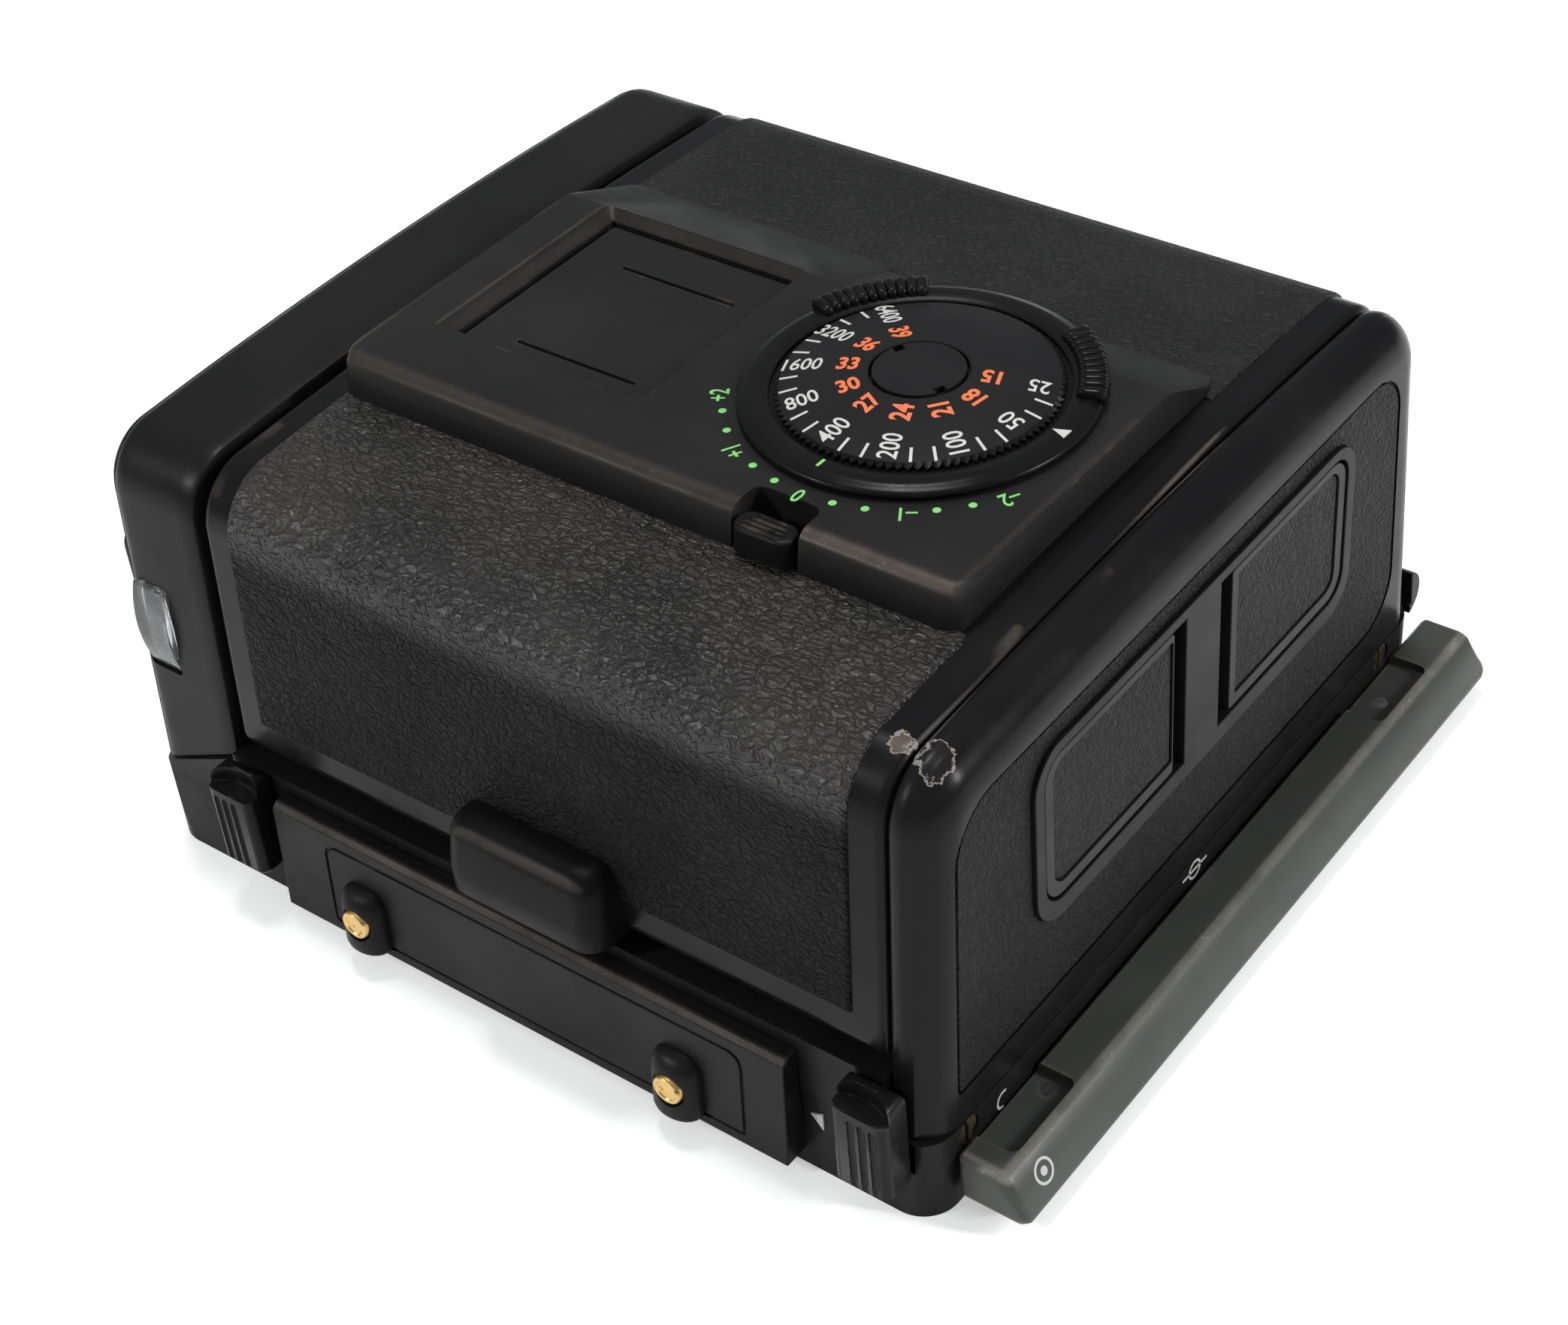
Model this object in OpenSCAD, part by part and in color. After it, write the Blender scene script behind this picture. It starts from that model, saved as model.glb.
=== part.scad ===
// Roll-film magazine for a medium-format camera, 6 x 6 cm frame, lying on its mating face.
// +Z points away from the camera (to the rear), +X towards the end where the dark slide pulls out,
// and the spool axes run along X. The origin is the centre of the film gate in the mating face.

/* [Body] */
// Width over the left cap and the end cover
body_w = 92; // [88:0.5:100]
// Length of the mating face along Y
body_l = 85; // [82:0.5:95]
// Height at the top of the crown
body_h = 47; // [45:0.5:54]
// Lean of the front and back walls, degrees
side_taper = 3.8; // [2:0.1:5]
// Radius of the gently crowned rear face
crown_r = 560; // [300:10:1200]
// Radius of the long top corners
top_corner_r = 6; // [4:0.5:8]
// Wall of the housing and the left cap
wall = 1.6; // [1.2:0.1:2.2]
// Running gap between pieces that part or slide
gap = 0.3; // [0.2:0.05:0.4]

/* [Base] */
// Height of the base at its sides
base_h = 8.8; // [8:0.1:9.5]
// Thickness of the gate plate
gate_plate_t = 5.9; // [5.6:0.1:6.6]
// Side of the square film gate
gate_size = 56; // [54:0.5:57]
// Width of the raised rim round the gate
gate_rim = 3; // [2:0.25:4]
// Top of the front ledge
ledge_h = 15.2; // [14:0.2:16.5]
// Depth of the front ledge
ledge_t = 3.2; // [2.5:0.1:4]
// Amount the ledge stands in front of the housing
ledge_proud = 0.6; // [0.3:0.1:1]
// Radius of the upright corners of the base
base_corner_r = 3.5; // [2:0.25:5]
// Radius of the two locating holes in the mating face
locating_r = 2; // [1.5:0.1:2.4]
// Depth of the locating holes
locating_depth = 3.2; // [2.5:0.1:3.4]
// Distance of the locating holes from the ends of the body
locating_margin = 7; // [6:0.25:9]

/* [Left cap] */
// Width of the left cap along X
cap_w = 12.2; // [11.5:0.1:14]
// Width of the groove between cap and housing
groove_w = 1; // [0.6:0.1:1.6]
// Depth of the groove between cap and housing
groove_depth = 1.3; // [1:0.1:1.8]
// Radius of the cap's outer edge
cap_edge_r = 3; // [2:0.25:4]
// Height of the cap's lower edge at the front of the groove
cap_seam_h = 14.5; // [13:0.25:15]
// Thickness of the raised crank pad
pad_t = 1.6; // [1.2:0.1:2]
// Height of the crank pad along Z
pad_h = 15.4; // [14:0.2:18]
// Radius of the well that holds the crank hub
well_r = 6.8; // [6:0.1:7]
// Length of the folding crank arm
arm_l = 18; // [14:0.5:19]
// Width of the folding crank arm
arm_w = 5; // [4:0.25:5.5]

/* [Counter] */
// Width of the counter window along X
window_w = 4.2; // [3.5:0.1:5]
// Height of the counter window along Z
window_h = 9.6; // [8:0.2:11]
// Amount the window bulges out of the cap
window_bulge = 0.9; // [0.4:0.1:1.4]
// Radius of the counter drum
drum_r = 6.2; // [5:0.1:6.4]

/* [End cover] */
// Thickness of the end cover along X
end_w = 4.5; // [4:0.1:6]
// Radius of the end cover's outer edge
end_edge_r = 3.6; // [2.5:0.1:4]
// Margin of the end leather from the front edge
end_leather_margin = 3.4; // [3:0.1:5]
// Lower edge of the end leather
end_leather_z0 = 12.5; // [11:0.25:14]
// Upper edge of the end leather
end_leather_z1 = 41.8; // [40:0.1:42]
// Length of the squeeze latch trim along Y
latch_l = 52.8; // [46:0.2:56]
// Height of the squeeze latch trim along Z
latch_h = 19.2; // [16:0.2:21]
// Height of the middle of the squeeze latch
latch_z = 30.3; // [28:0.1:31]
// Width of the latch trim's rim
latch_rim = 2.2; // [1.6:0.1:3]
// Width of the fixed bar between the two squeeze buttons
latch_bar_w = 5.7; // [4:0.1:8]
// Travel of each squeeze button
squeeze_travel = 1.6; // [1:0.1:2]

/* [Leather] */
// Thickness of the leather covering
leather_t = 0.4; // [0.2:0.05:0.6]
// Margin of the housing leather at the left rim
leather_margin_l = 3.2; // [2:0.1:5]
// Margin of the housing leather at the right rim
leather_margin_r = 3.6; // [2:0.1:5]
// Lower edge of the front leather
leather_z0 = 20.4; // [19:0.2:24]

/* [Dial plate] */
// Margin of the dial plate at the left rim of the housing
plate_margin_l = 3.2; // [2:0.1:5]
// Margin of the dial plate at the right rim of the housing
plate_margin_r = 4.3; // [3:0.1:6]
// Front edge of the dial plate
plate_y0 = -23.3; // [-26:0.1:-21]
// Back edge of the dial plate at the dial
plate_y1 = 16.8; // [15:0.1:20]
// Extra length of the dial plate at the memo holder
memo_step = 1; // [0.4:0.1:2]
// Height of the dial plate over the crown
plate_h = 3.7; // [2.8:0.1:5]
// Slope of the plate's front face, as its run along Y
plate_draft = 1.8; // [1:0.1:2.5]
// Length of the memo recess along X
memo_l = 22.2; // [20:0.2:24]
// Width of the memo recess along Y
memo_w = 22.6; // [20:0.2:24]
// Depth of the memo recess
memo_depth = 1.1; // [0.6:0.1:1.6]
// Width of the dial lock button
lock_w = 6.2; // [5:0.1:7]
// How far the dial lock button stands out of the plate
lock_proud = 1.8; // [1:0.1:2.4]

/* [Dial] */
// Distance of the dial's centre from the right edge of the plate
dial_margin = 18.2; // [17:0.1:20]
// Centre of the dial along Y
dial_y = -1.7; // [-3:0.1:-1]
// Radius of the compensation ring
ring_r = 15.7; // [15:0.1:16]
// Radius of the speed disc
disc_r = 12.6; // [11:0.1:13]
// Height of the ring above the plate
ring_h = 1.3; // [1:0.1:2]
// Height of the disc above the plate
disc_h = 1.6; // [1.4:0.1:2.2]
// Number of teeth round the disc
disc_teeth = 72; // [48:4:96]
// Radius of the nut that holds the dial
nut_r = 4; // [3:0.1:5]
// Radius of the dial post
post_r = 2.5; // [2:0.1:3]

/* [Front controls] */
// Margin of the contact strip at the left end of the body
strip_margin_l = 19; // [18:0.1:20]
// Margin of the contact strip at the right end of the body
strip_margin_r = 13.5; // [13:0.1:16]
// Lower edge of the contact strip
strip_z0 = 1.5; // [1:0.1:3]
// Upper edge of the contact strip
strip_z1 = 13.7; // [12:0.1:14]
// Amount the contact strip stands proud of the base
strip_proud = 2.3; // [1.5:0.1:3]
// Radius of the contact bosses
boss_r = 2.9; // [2.4:0.1:3.4]
// Radius of the contact pins
contact_r = 1.8; // [1.4:0.1:2]
// Distance between the contact pins
contact_spacing = 37; // [32:0.1:39]
// Width of the guide block above the strip
block_w = 17.5; // [12:0.25:18]
// Height of the guide block along Z
block_h = 8.2; // [6:0.2:9]
// Amount the guide block stands out of the housing
block_proud = 4; // [3:0.1:5]
// Width of each release catch along X
catch_w = 5.6; // [5:0.1:6.4]
// Height of each release catch along Z
catch_h = 10.8; // [9:0.1:11]
// Travel of each release catch
catch_travel = 1.2; // [0.8:0.1:1.4]

/* [Dark slide] */
// Thickness of the dark slide blade
blade_t = 0.6; // [0.4:0.05:0.8]
// Width of the dark slide blade along Y
blade_w = 63.6; // [61:0.2:65]
// Height of the middle of the blade over the mating face
blade_z = 4.15; // [3.9:0.05:4.3]
// Length of the handle along Y
handle_l = 83.6; // [76:0.2:84]
// Width of the handle along X
handle_w = 7; // [6:0.1:9]
// Thickness of the handle along Z
handle_t = 5; // [4.5:0.1:5.6]
// Width of the handle's sloped outer face
handle_slope_w = 2.4; // [1.5:0.1:3]
// Depth of the finger pockets at both ends of the handle
pocket_depth = 0.7; // [0.4:0.05:1]

/* [Film path] */
// Radius of the spool flanges
spool_r = 12.5; // [11.5:0.1:12.6]
// Radius of the spool core
core_r = 5.6; // [5:0.1:7]
// Room between the bulkhead and the insert
insert_margin = 1.4; // [1.2:0.1:2]
// Distance of each spool axis from the end of the mating face
spool_margin = 18.3; // [18.2:0.1:19]
// Height of the spool axes and the gear train
spool_z = 26.3; // [26:0.1:28]
// Radius of the spool bores
spool_bore_r = 2.5; // [2:0.1:3]
// Running clearance of shafts and pins
fit = 0.05; // [0.02:0.01:0.08]
// Radius of the film rollers
roller_r = 2.2; // [1.8:0.1:2.4]
// Distance of each film roller from the end of the mating face
roller_margin = 8.5; // [8:0.1:9]
// Thickness of the pressure plate
pressure_t = 1.4; // [1:0.1:1.8]
// Radius of the gear and crank shafts
shaft_r = 2; // [1.5:0.1:2.2]
// Room between the counter drum and the wall of the cap
drum_margin = 1.5; // [1:0.1:2]
// Thickness of the gears
gear_t = 2; // [1.5:0.1:2.2]

/* [Hidden] */
$fn = 64;
eps = 0.01;

x_left = -body_w / 2;
x_right = body_w / 2;
x_end = x_right - end_w;
x_cap = x_left + cap_w;
x_house = x_cap + groove_w;
x_bulk = x_cap - 4;

spool_y = body_l / 2 - spool_margin;
roller_y = body_l / 2 - roller_margin;
insert_x0 = x_bulk + wall + insert_margin;
spool_l = -2 * (insert_x0 + wall + 0.4);

arc_steps = 8;
crown_steps = 4;
corner_y0 = body_l / 2 - (body_h - top_corner_r) * tan(side_taper) - top_corner_r / cos(side_taper);
corner_z = body_h - corner_y0 * corner_y0 / (2 * crown_r) - top_corner_r;
corner_y = half_length(corner_z) - top_corner_r / cos(side_taper);

function half_length(z) = body_l / 2 - z * tan(side_taper);
function crown_z(y) = body_h - y * y / (2 * crown_r);

// One half of the end view, from the bottom of the wall up and over to the middle.
function half_profile(inset, z0) =
    let (r = max(top_corner_r - inset, 0.4), a0 = side_taper, a1 = 90 - asin(corner_y / crown_r))
    concat(
        [[half_length(z0) - inset / cos(side_taper), z0]],
        [for (i = [0:arc_steps]) let (a = a0 + (a1 - a0) * i / arc_steps)
            [corner_y + r * cos(a), corner_z + r * sin(a)]],
        [for (i = [1:crown_steps - 1]) let (y = corner_y * (1 - i / crown_steps)) [y, crown_z(y) - inset]]);

function profile(inset, z0) =
    let (half = half_profile(inset, z0), n = len(half))
    concat(half, [[0, body_h - inset]], [for (i = [n - 1:-1:0]) [-half[i][0], half[i][1]]]);

// The end view of the magazine drawn from x0 to x1, shrunk by inset and cut off below z0.
module section(x0, x1, inset = 0, z0 = 0) {
    translate([x0, 0, 0]) rotate([90, 0, 90]) linear_extrude(x1 - x0) polygon(profile(inset, z0));
}

// The same end view with its edge at x1 rounded by r. The rounding runs towards x1 from x0.
module rounded_section(x0, x1, r, z0) {
    dir = x1 > x0 ? 1 : -1;
    steps = 5;
    slice = 0.04;
    hull() {
        section(min(x0, x1 - dir * r), max(x0, x1 - dir * r), 0, z0);
        for (i = [1:steps]) let (a = 90 * i / steps, x = x1 - dir * r * (1 - sin(a)))
            section(min(x, x - dir * slice), max(x, x - dir * slice), r * (1 - cos(a)), z0);
    }
}

module rounded_rect(w, l, r) {
    square([w - 2 * r, l], center = true);
    square([w, l - 2 * r], center = true);
    for (x = [-1, 1], y = [-1, 1]) translate([x * (w / 2 - r), y * (l / 2 - r)]) circle(r);
}

// A rounded plate that lies in the YZ plane, with its outer face at x.
module end_plate(x, y, z, l, h, r, t) {
    translate([x - t, y, z]) rotate([90, 0, 90]) linear_extrude(t) rounded_rect(l, h, r);
}

module box(x0, x1, y0, y1, z0, z1) {
    translate([x0, y0, z0]) cube([x1 - x0, y1 - y0, z1 - z0]);
}

module shaft_x(x0, x1, y, z, r) {
    translate([x0, y, z]) rotate([0, 90, 0]) cylinder(h = x1 - x0, r = r);
}

/* ---------- base ---------- */
slot_t = blade_t + 0.5;
slot_clear = 0.6;
well_wall = 3;
seal_t = 0.5;
ledge_y0 = -half_length(ledge_h) - ledge_proud;
ledge_y1 = ledge_y0 + ledge_t;
front_y = ledge_y0;
locating_y = body_l / 2 - 6;
gear_slot_x0 = x_bulk - 0.8 - gear_t - 0.5;
gear_slot_x1 = x_bulk - 0.2;

module cap_seam_outline() {
    polygon([[x_left - 2, -1], [x_left - 2, base_h], [x_left, base_h], [x_cap, cap_seam_h], [x_cap, ledge_h],
        [x_end, ledge_h], [x_end, -1]]);
}

module front_ledge() {
    intersection() {
        translate([0, ledge_y1, 0]) rotate([90, 0, 0]) linear_extrude(ledge_t) cap_seam_outline();
        box(x_left + gap, x_end - gap / 2, front_y - 1, ledge_y1, base_h - eps, ledge_h);
    }
}

module base_frame() {
    color("#1b1b1c") difference() {
        union() {
            intersection() {
                section(x_left, x_right);
                linear_extrude(base_h) rounded_rect(body_w, body_l, base_corner_r);
            }
            // the ledge follows the base's upright corner and stays clear of the cap's end wall
            intersection() {
                difference() {
                    front_ledge();
                    box(x_left - 1, x_left + base_corner_r, ledge_y1 - gap, ledge_y1 + 1, base_h - 1, ledge_h + 1);
                }
                linear_extrude(ledge_h + 1) rounded_rect(body_w, body_l, base_corner_r);
            }
        }
        // the well under the insert, round the raised gate rim
        difference() {
            box(x_bulk + wall + gap, x_end - well_wall / 2, -body_l / 2 + well_wall + 1, body_l / 2 - well_wall - 1,
                gate_plate_t, base_h + 1);
            box(-gate_size / 2 - gate_rim, gate_size / 2 + gate_rim, -gate_size / 2 - gate_rim,
                gate_size / 2 + gate_rim, 0, base_h);
        }
        translate([0, 0, -1]) linear_extrude(base_h + 2) rounded_rect(gate_size, gate_size, 1.5);
        box(x_bulk + 2, x_right + 1, -blade_w / 2 - slot_clear, blade_w / 2 + slot_clear,
            blade_z - slot_t / 2, blade_z + slot_t / 2);
        for (s = [-1, 1]) translate([s * (body_w / 2 - locating_margin), locating_y, -1]) cylinder(h = locating_depth + 1, r = locating_r);
        // slot for the coupling gear with its stud, and the pocket of the interlock pin
        box(gear_slot_x0, gear_slot_x1, idler_y - coupling_tip_r - 1, idler_y + coupling_tip_r + 1, -1, base_h + 1);
        shaft_x(gear_slot_x0, x_bulk + wall, idler_y, coupling_z, stud_r);
        translate([interlock_x, interlock_y, -1]) cylinder(h = interlock_l + 1.3 + interlock_travel, r = interlock_r + fit);
        // seats of the light seals, round the gate and over the blade
        translate([0, 0, base_h - seal_t]) linear_extrude(seal_t + 1) seal_outline();
        box(x_end - 4, x_end, -blade_w / 2, blade_w / 2, blade_z, blade_z + slot_t / 2 + 0.8);
        // slots for the stems of the catches, open to the front
        for (x = [catch_left_x, catch_right_x])
            box(x - stem_w / 2 - catch_travel - gap, x + stem_w / 2 + catch_travel + gap, front_y - 2,
                stem_y1 + gap, stem_z0 - gap, stem_z1 + gap);
        for (y = side_screw_y) shaft_x(x_right - screw_h, x_right + 1, y, side_screw_z, screw_r);
        for (x = [-1, 1], y = [-1, 1]) translate([x * base_screw_x, y * base_screw_y, -1]) cylinder(h = 1 + screw_h, r = screw_r);
    }
}

module seal_outline() {
    difference() {
        rounded_rect(gate_size + 1.4 * gate_rim, gate_size + 1.4 * gate_rim, 2);
        rounded_rect(gate_size + 0.6 * gate_rim, gate_size + 0.6 * gate_rim, 1.5);
    }
}

module gate_seal() {
    color("#101010") translate([0, 0, base_h - seal_t]) linear_extrude(seal_t) seal_outline();
}

screw_r = 1.5;
screw_h = 0.9;
side_screw_y = [-body_l / 2 + 5.4, body_l / 2 - 7.5];
side_screw_z = 7.2;
base_screw_x = gate_size / 2 - 6;
base_screw_y = body_l / 2 - 5;

module screw_head() {
    difference() {
        cylinder(h = screw_h - 0.2, r = screw_r - fit);
        translate([-screw_r, -0.2, screw_h - 0.6]) cube([2 * screw_r, 0.4, 1]);
    }
}

module side_screws() {
    color("#7d6a3c") for (y = side_screw_y) translate([x_right - screw_h, y, side_screw_z]) rotate([0, 90, 0]) screw_head();
}

module base_screws() {
    color("#303030") for (x = [-1, 1], y = [-1, 1])
        translate([x * base_screw_x, y * base_screw_y, screw_h]) rotate([180, 0, 0]) screw_head();
}

/* ---------- housing and left cap ---------- */
house_z0 = base_h + 0.1;
sleeve_gap = 0.15;

module housing() {
    sleeve_in = wall + sleeve_gap + groove_depth;
    color("#1c1c1d") difference() {
        union() {
            section(x_house, x_end - gap, 0, house_z0);
            section(x_bulk, x_house + eps, wall + sleeve_gap, house_z0);
        }
        section(x_bulk + wall, x_end, wall + sleeve_gap + wall, house_z0 - 1);
        box(x_bulk - 1, x_end + 1, -body_l, -half_length(ledge_h) + 2 * wall + sleeve_gap + 0.4, 0, ledge_h + gap);
        shaft_x(x_bulk - 1, x_bulk + wall + 1, spool_y, spool_z, shaft_r + fit);
        for (y = [idler_y, transfer_y, counter_y]) shaft_x(x_bulk - 1, x_bulk + wall + 1, y, spool_z, stud_r);
        shaft_x(x_bulk - 1, x_bulk + wall + 1, idler_y, coupling_z, stud_r);
        // keeper notches for the two latch hooks
        for (s = [-1, 1]) box(x_end - hook_l - 1, x_end - hook_l + 2.4, s * hook_y - 4, s * hook_y + 4,
            body_h - 2 * wall - 2, body_h - wall);
        translate([dial_x, dial_y, 0]) cylinder(h = body_h + 1, r = post_r);
    }
}

pad_y0 = -half_length(spool_z) + 2.4;
pad_y1 = half_length(spool_z) - 2.4;
window_x = x_left + 4.2;

module cap_shape() {
    intersection() {
        rounded_section(x_cap, x_left, cap_edge_r, base_h + gap);
        union() {
            box(x_left - 1, x_cap + 1, ledge_y1, body_l, base_h, body_h + 1);
            difference() {
                box(x_left - 1, x_cap + 1, -body_l, ledge_y1 + eps, base_h, body_h + 1);
                translate([0, ledge_y1 + 1, gap]) rotate([90, 0, 0]) linear_extrude(body_l) cap_seam_outline();
            }
        }
    }
}

module left_cap() {
    color("#1a1a1b") difference() {
        union() {
            cap_shape();
            translate([x_left - pad_t, (pad_y0 + pad_y1) / 2, spool_z]) rotate([90, 0, 90])
                linear_extrude(pad_t + 0.5) rounded_rect(pad_y1 - pad_y0, pad_h, 2);
        }
        section(x_left + wall, x_cap + 1, wall, 0);
        shaft_x(x_left - pad_t - 1, x_left, spool_y, spool_z, well_r);
        shaft_x(x_left - 3, x_left + wall + 1, spool_y, spool_z, shaft_r + fit);
        box(window_x - window_w / 2 - fit, window_x + window_w / 2 + fit, -body_l, -half_length(spool_z) + 4,
            spool_z - window_h / 2 - fit, spool_z + window_h / 2 + fit);
    }
}

module counter_window() {
    rise = half_length(spool_z);
    arc_r = (window_h * window_h / 4 + window_bulge * window_bulge) / (2 * window_bulge);
    color("#c8d2d4") translate([window_x - window_w / 2, 0, 0]) difference() {
        intersection() {
            shaft_x(0, window_w, -rise - window_bulge + arc_r, spool_z, arc_r);
            box(0, window_w, -rise - window_bulge - 1, -rise + wall + 0.6, spool_z - window_h / 2, spool_z + window_h / 2);
        }
        box(0.8, window_w - 0.8, -rise + 0.4, -rise + wall + 2, spool_z - window_h / 2 + 0.8, spool_z + window_h / 2 - 0.8);
    }
}

/* ---------- leather ---------- */
leather_x0 = x_house + leather_margin_l;
leather_x1 = x_end - leather_margin_r;

// A strip of leather wrapped over one long top corner. It runs from the wall at z0 to the crown at y1.
function strip_line(inset, z0, y1) = concat([for (p = half_profile(inset, z0)) if (p[0] > y1) p], [[y1, crown_z(y1) - inset]]);

module leather_band(x0, x1, y1, z0) {
    outer = strip_line(-leather_t, z0, y1);
    inner = strip_line(0, z0, y1);
    translate([x0, 0, 0]) rotate([90, 0, 90]) linear_extrude(x1 - x0)
        polygon(concat(outer, [for (i = [len(inner) - 1:-1:0]) inner[i]]));
}

module front_leather() {
    color("#161616") translate([leather_x0 + leather_x1, 0, 0]) rotate(180) leather_band(leather_x0, leather_x1, 0.1 - plate_y0, leather_z0);
}

module back_leather() {
    color("#161616") {
        leather_band(leather_x0, memo_x1 + eps, plate_y1 + memo_step + 0.1, leather_z0);
        leather_band(memo_x1, leather_x1, plate_y1 + 0.1, leather_z0);
    }
}

/* ---------- dial plate ---------- */
plate_x0 = x_house + plate_margin_l;
plate_x1 = x_end - plate_margin_r;
plate_l = plate_x1 - plate_x0;
plate_z = body_h + plate_h;
dial_x = plate_x1 - dial_margin;
memo_x1 = plate_x0 + memo_l + 9.3;
plate_notch_x = dial_x - 0.6;
plate_back_z = plate_z - 2.6;

module dial_plate() {
    color("#1e1e1f") difference() {
        intersection() {
            // side view: sloping front face, flat top, long slope down at the back
            translate([plate_x0, 0, 0]) rotate([90, 0, 90]) linear_extrude(plate_l) polygon([
                [plate_y0, crown_z(plate_y0) - 0.6], [plate_y0, crown_z(plate_y0) + 0.5],
                [plate_y0 + plate_draft, plate_z], [dial_y + ring_r - 4.6, plate_z],
                [plate_y1 + memo_step, plate_back_z], [plate_y1 + memo_step, crown_z(plate_y1) - 0.6]]);
            union() {
                translate([0, 0, body_h - 3]) linear_extrude(10) translate([(plate_x0 + plate_x1) / 2, (plate_y0 + plate_y1) / 2])
                    rounded_rect(plate_l, plate_y1 - plate_y0, 1.6);
                translate([0, 0, body_h - 3]) linear_extrude(10) translate([(plate_x0 + memo_x1) / 2, (plate_y0 + plate_y1 + memo_step) / 2])
                    rounded_rect(memo_x1 - plate_x0, plate_y1 + memo_step - plate_y0, 1.6);
            }
        }
        section(plate_x0 - 1, plate_x1 + 1, 0, 0);
        // memo recess with its floor cut down along the back and left walls
        translate([plate_x0 + 6.2, plate_y0 + 10, 0]) {
            box(0, memo_l, 0, memo_w, plate_z - memo_depth, plate_z + 1);
            // two slits grip the card
            for (y = [1.2, memo_w - 6.8])
                box(memo_l / 4, memo_l * 0.86, y, y + 0.5, plate_z - memo_depth - 0.8, plate_z);
        }
        translate([dial_x, dial_y, 0]) cylinder(h = plate_z + 1, r = post_r);
        box(plate_notch_x - lock_w / 2 - gap, plate_notch_x + lock_w / 2 + gap, plate_y0 - 1, plate_y0 + 3.6, body_h - 3, plate_z + 1);
    }
}

module dial_post() {
    color("#8a8a86") translate([dial_x, dial_y, body_h - wall]) cylinder(h = plate_z + disc_h + gap - (body_h - wall), r = post_r);
}

module grip_ribs(a0, count) {
    for (i = [0:count - 1]) rotate(a0 + i * 3.5) translate([ring_r - 0.9, 0, gap]) cylinder(h = ring_h + 0.8, r = 0.42, $fn = 16);
}

module compensation_ring() {
    color("#151515") translate([dial_x, dial_y, plate_z]) {
        rotate_extrude($fn = 128) polygon([[post_r + fit, gap], [ring_r, gap], [ring_r, ring_h - 0.5], [ring_r - 1.2, ring_h],
            [disc_r + 0.5, ring_h], [disc_r + 0.5, gap + 0.4], [post_r + fit, gap + 0.4]]);
        grip_ribs(124, 11);
        grip_ribs(22, 11);
    }
}

module speed_disc() {
    pitch = 360 / disc_teeth;
    disc_z = 2 * gap + 0.4;
    color("#141414") translate([dial_x, dial_y, plate_z + disc_z]) difference() {
        linear_extrude(disc_h - disc_z) polygon([for (i = [0:disc_teeth - 1], k = [0:1])
            let (a = (i + k / 2) * pitch, r = k == 0 ? disc_r : disc_r - 0.5) [r * cos(a), r * sin(a)]]);
        translate([0, 0, -1]) cylinder(h = 5, r = post_r + fit);
    }
}

module dial_nut() {
    color("#161616") translate([dial_x, dial_y, plate_z + disc_h + gap]) difference() {
        cylinder(h = 0.8, r = nut_r);
        for (s = [-1, 1]) translate([s * nut_r - 1, -0.6, 0.4]) cube([2, 1.2, 1]);
    }
}

module lock_button() {
    // it slides over the leather into the notch of the plate
    z0 = crown_z(plate_y0) + leather_t + gap;
    color("#191919") difference() {
        box(plate_notch_x - lock_w / 2, plate_notch_x + lock_w / 2, plate_y0 - lock_proud, plate_y0 + 2.2, z0, plate_z - 0.6);
        for (i = [0:5]) translate([plate_notch_x + (i - 2.5) * lock_w / 6.2, plate_y0 - lock_proud, z0 - 1]) cylinder(h = 8, r = 0.22, $fn = 16);
    }
}

/* ---------- contact strip, guide block and catches on the front ---------- */
strip_y = -half_length(0) - strip_proud;
strip_x0 = x_left + strip_margin_l;
strip_x1 = x_right - strip_margin_r;
strip_l = strip_x1 - strip_x0;
contact_x0 = strip_x0 + 11;
contact_z = 5.6;
boss_y = strip_y + 1;
block_x = strip_x0 + 32.3;
block_z0 = ledge_h + 0.9;
catch_z0 = 4.6;
catch_left_x = strip_x0 - gap - catch_travel - catch_w / 2;
catch_right_x = x_right - 5;
catch_y = strip_y - 0.9;
catch_y1 = -half_length(catch_z0) - gap;
stem_w = 3;
stem_z0 = blade_z + slot_t / 2 + 0.9;
stem_z1 = base_h - 0.6;
stem_y1 = -body_l / 2 + 2.9;

module contact_strip() {
    color("#1d1d1e") difference() {
        union() {
            // the face leans like the housing wall
            translate([strip_x0, 0, 0]) rotate([90, 0, 90]) linear_extrude(strip_l) polygon([
                [strip_y + 0.1, strip_z0], [strip_y + 0.8, strip_z1 - 0.5], [strip_y + 1.3, strip_z1],
                [front_y, strip_z1], [front_y, base_h], [-body_l / 2 + base_h * tan(side_taper) - gap / 2, base_h],
                [-body_l / 2, strip_z0]]);
            for (x = [contact_x0, contact_x0 + contact_spacing])
                translate([x, boss_y, strip_z0 + 1]) cylinder(h = 8, r1 = boss_r, r2 = boss_r - 0.6);
        }
        box(strip_x0 - 1, strip_x1 + 1, front_y, 0, 0, ledge_h);
        section(x_left, x_right, 0, 0);
        for (x = [contact_x0, contact_x0 + contact_spacing])
            translate([x, boss_y - boss_r + 5, contact_z]) rotate([90, 0, 0]) cylinder(h = 8, r = contact_r);
    }
}

module contact_pins() {
    color("#c79a3e") for (x = [contact_x0, contact_x0 + contact_spacing])
        translate([x, -body_l / 2 + 0.2, contact_z]) rotate([90, 0, 0]) cylinder(h = strip_proud + boss_r - 1, r = contact_r);
}

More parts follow.
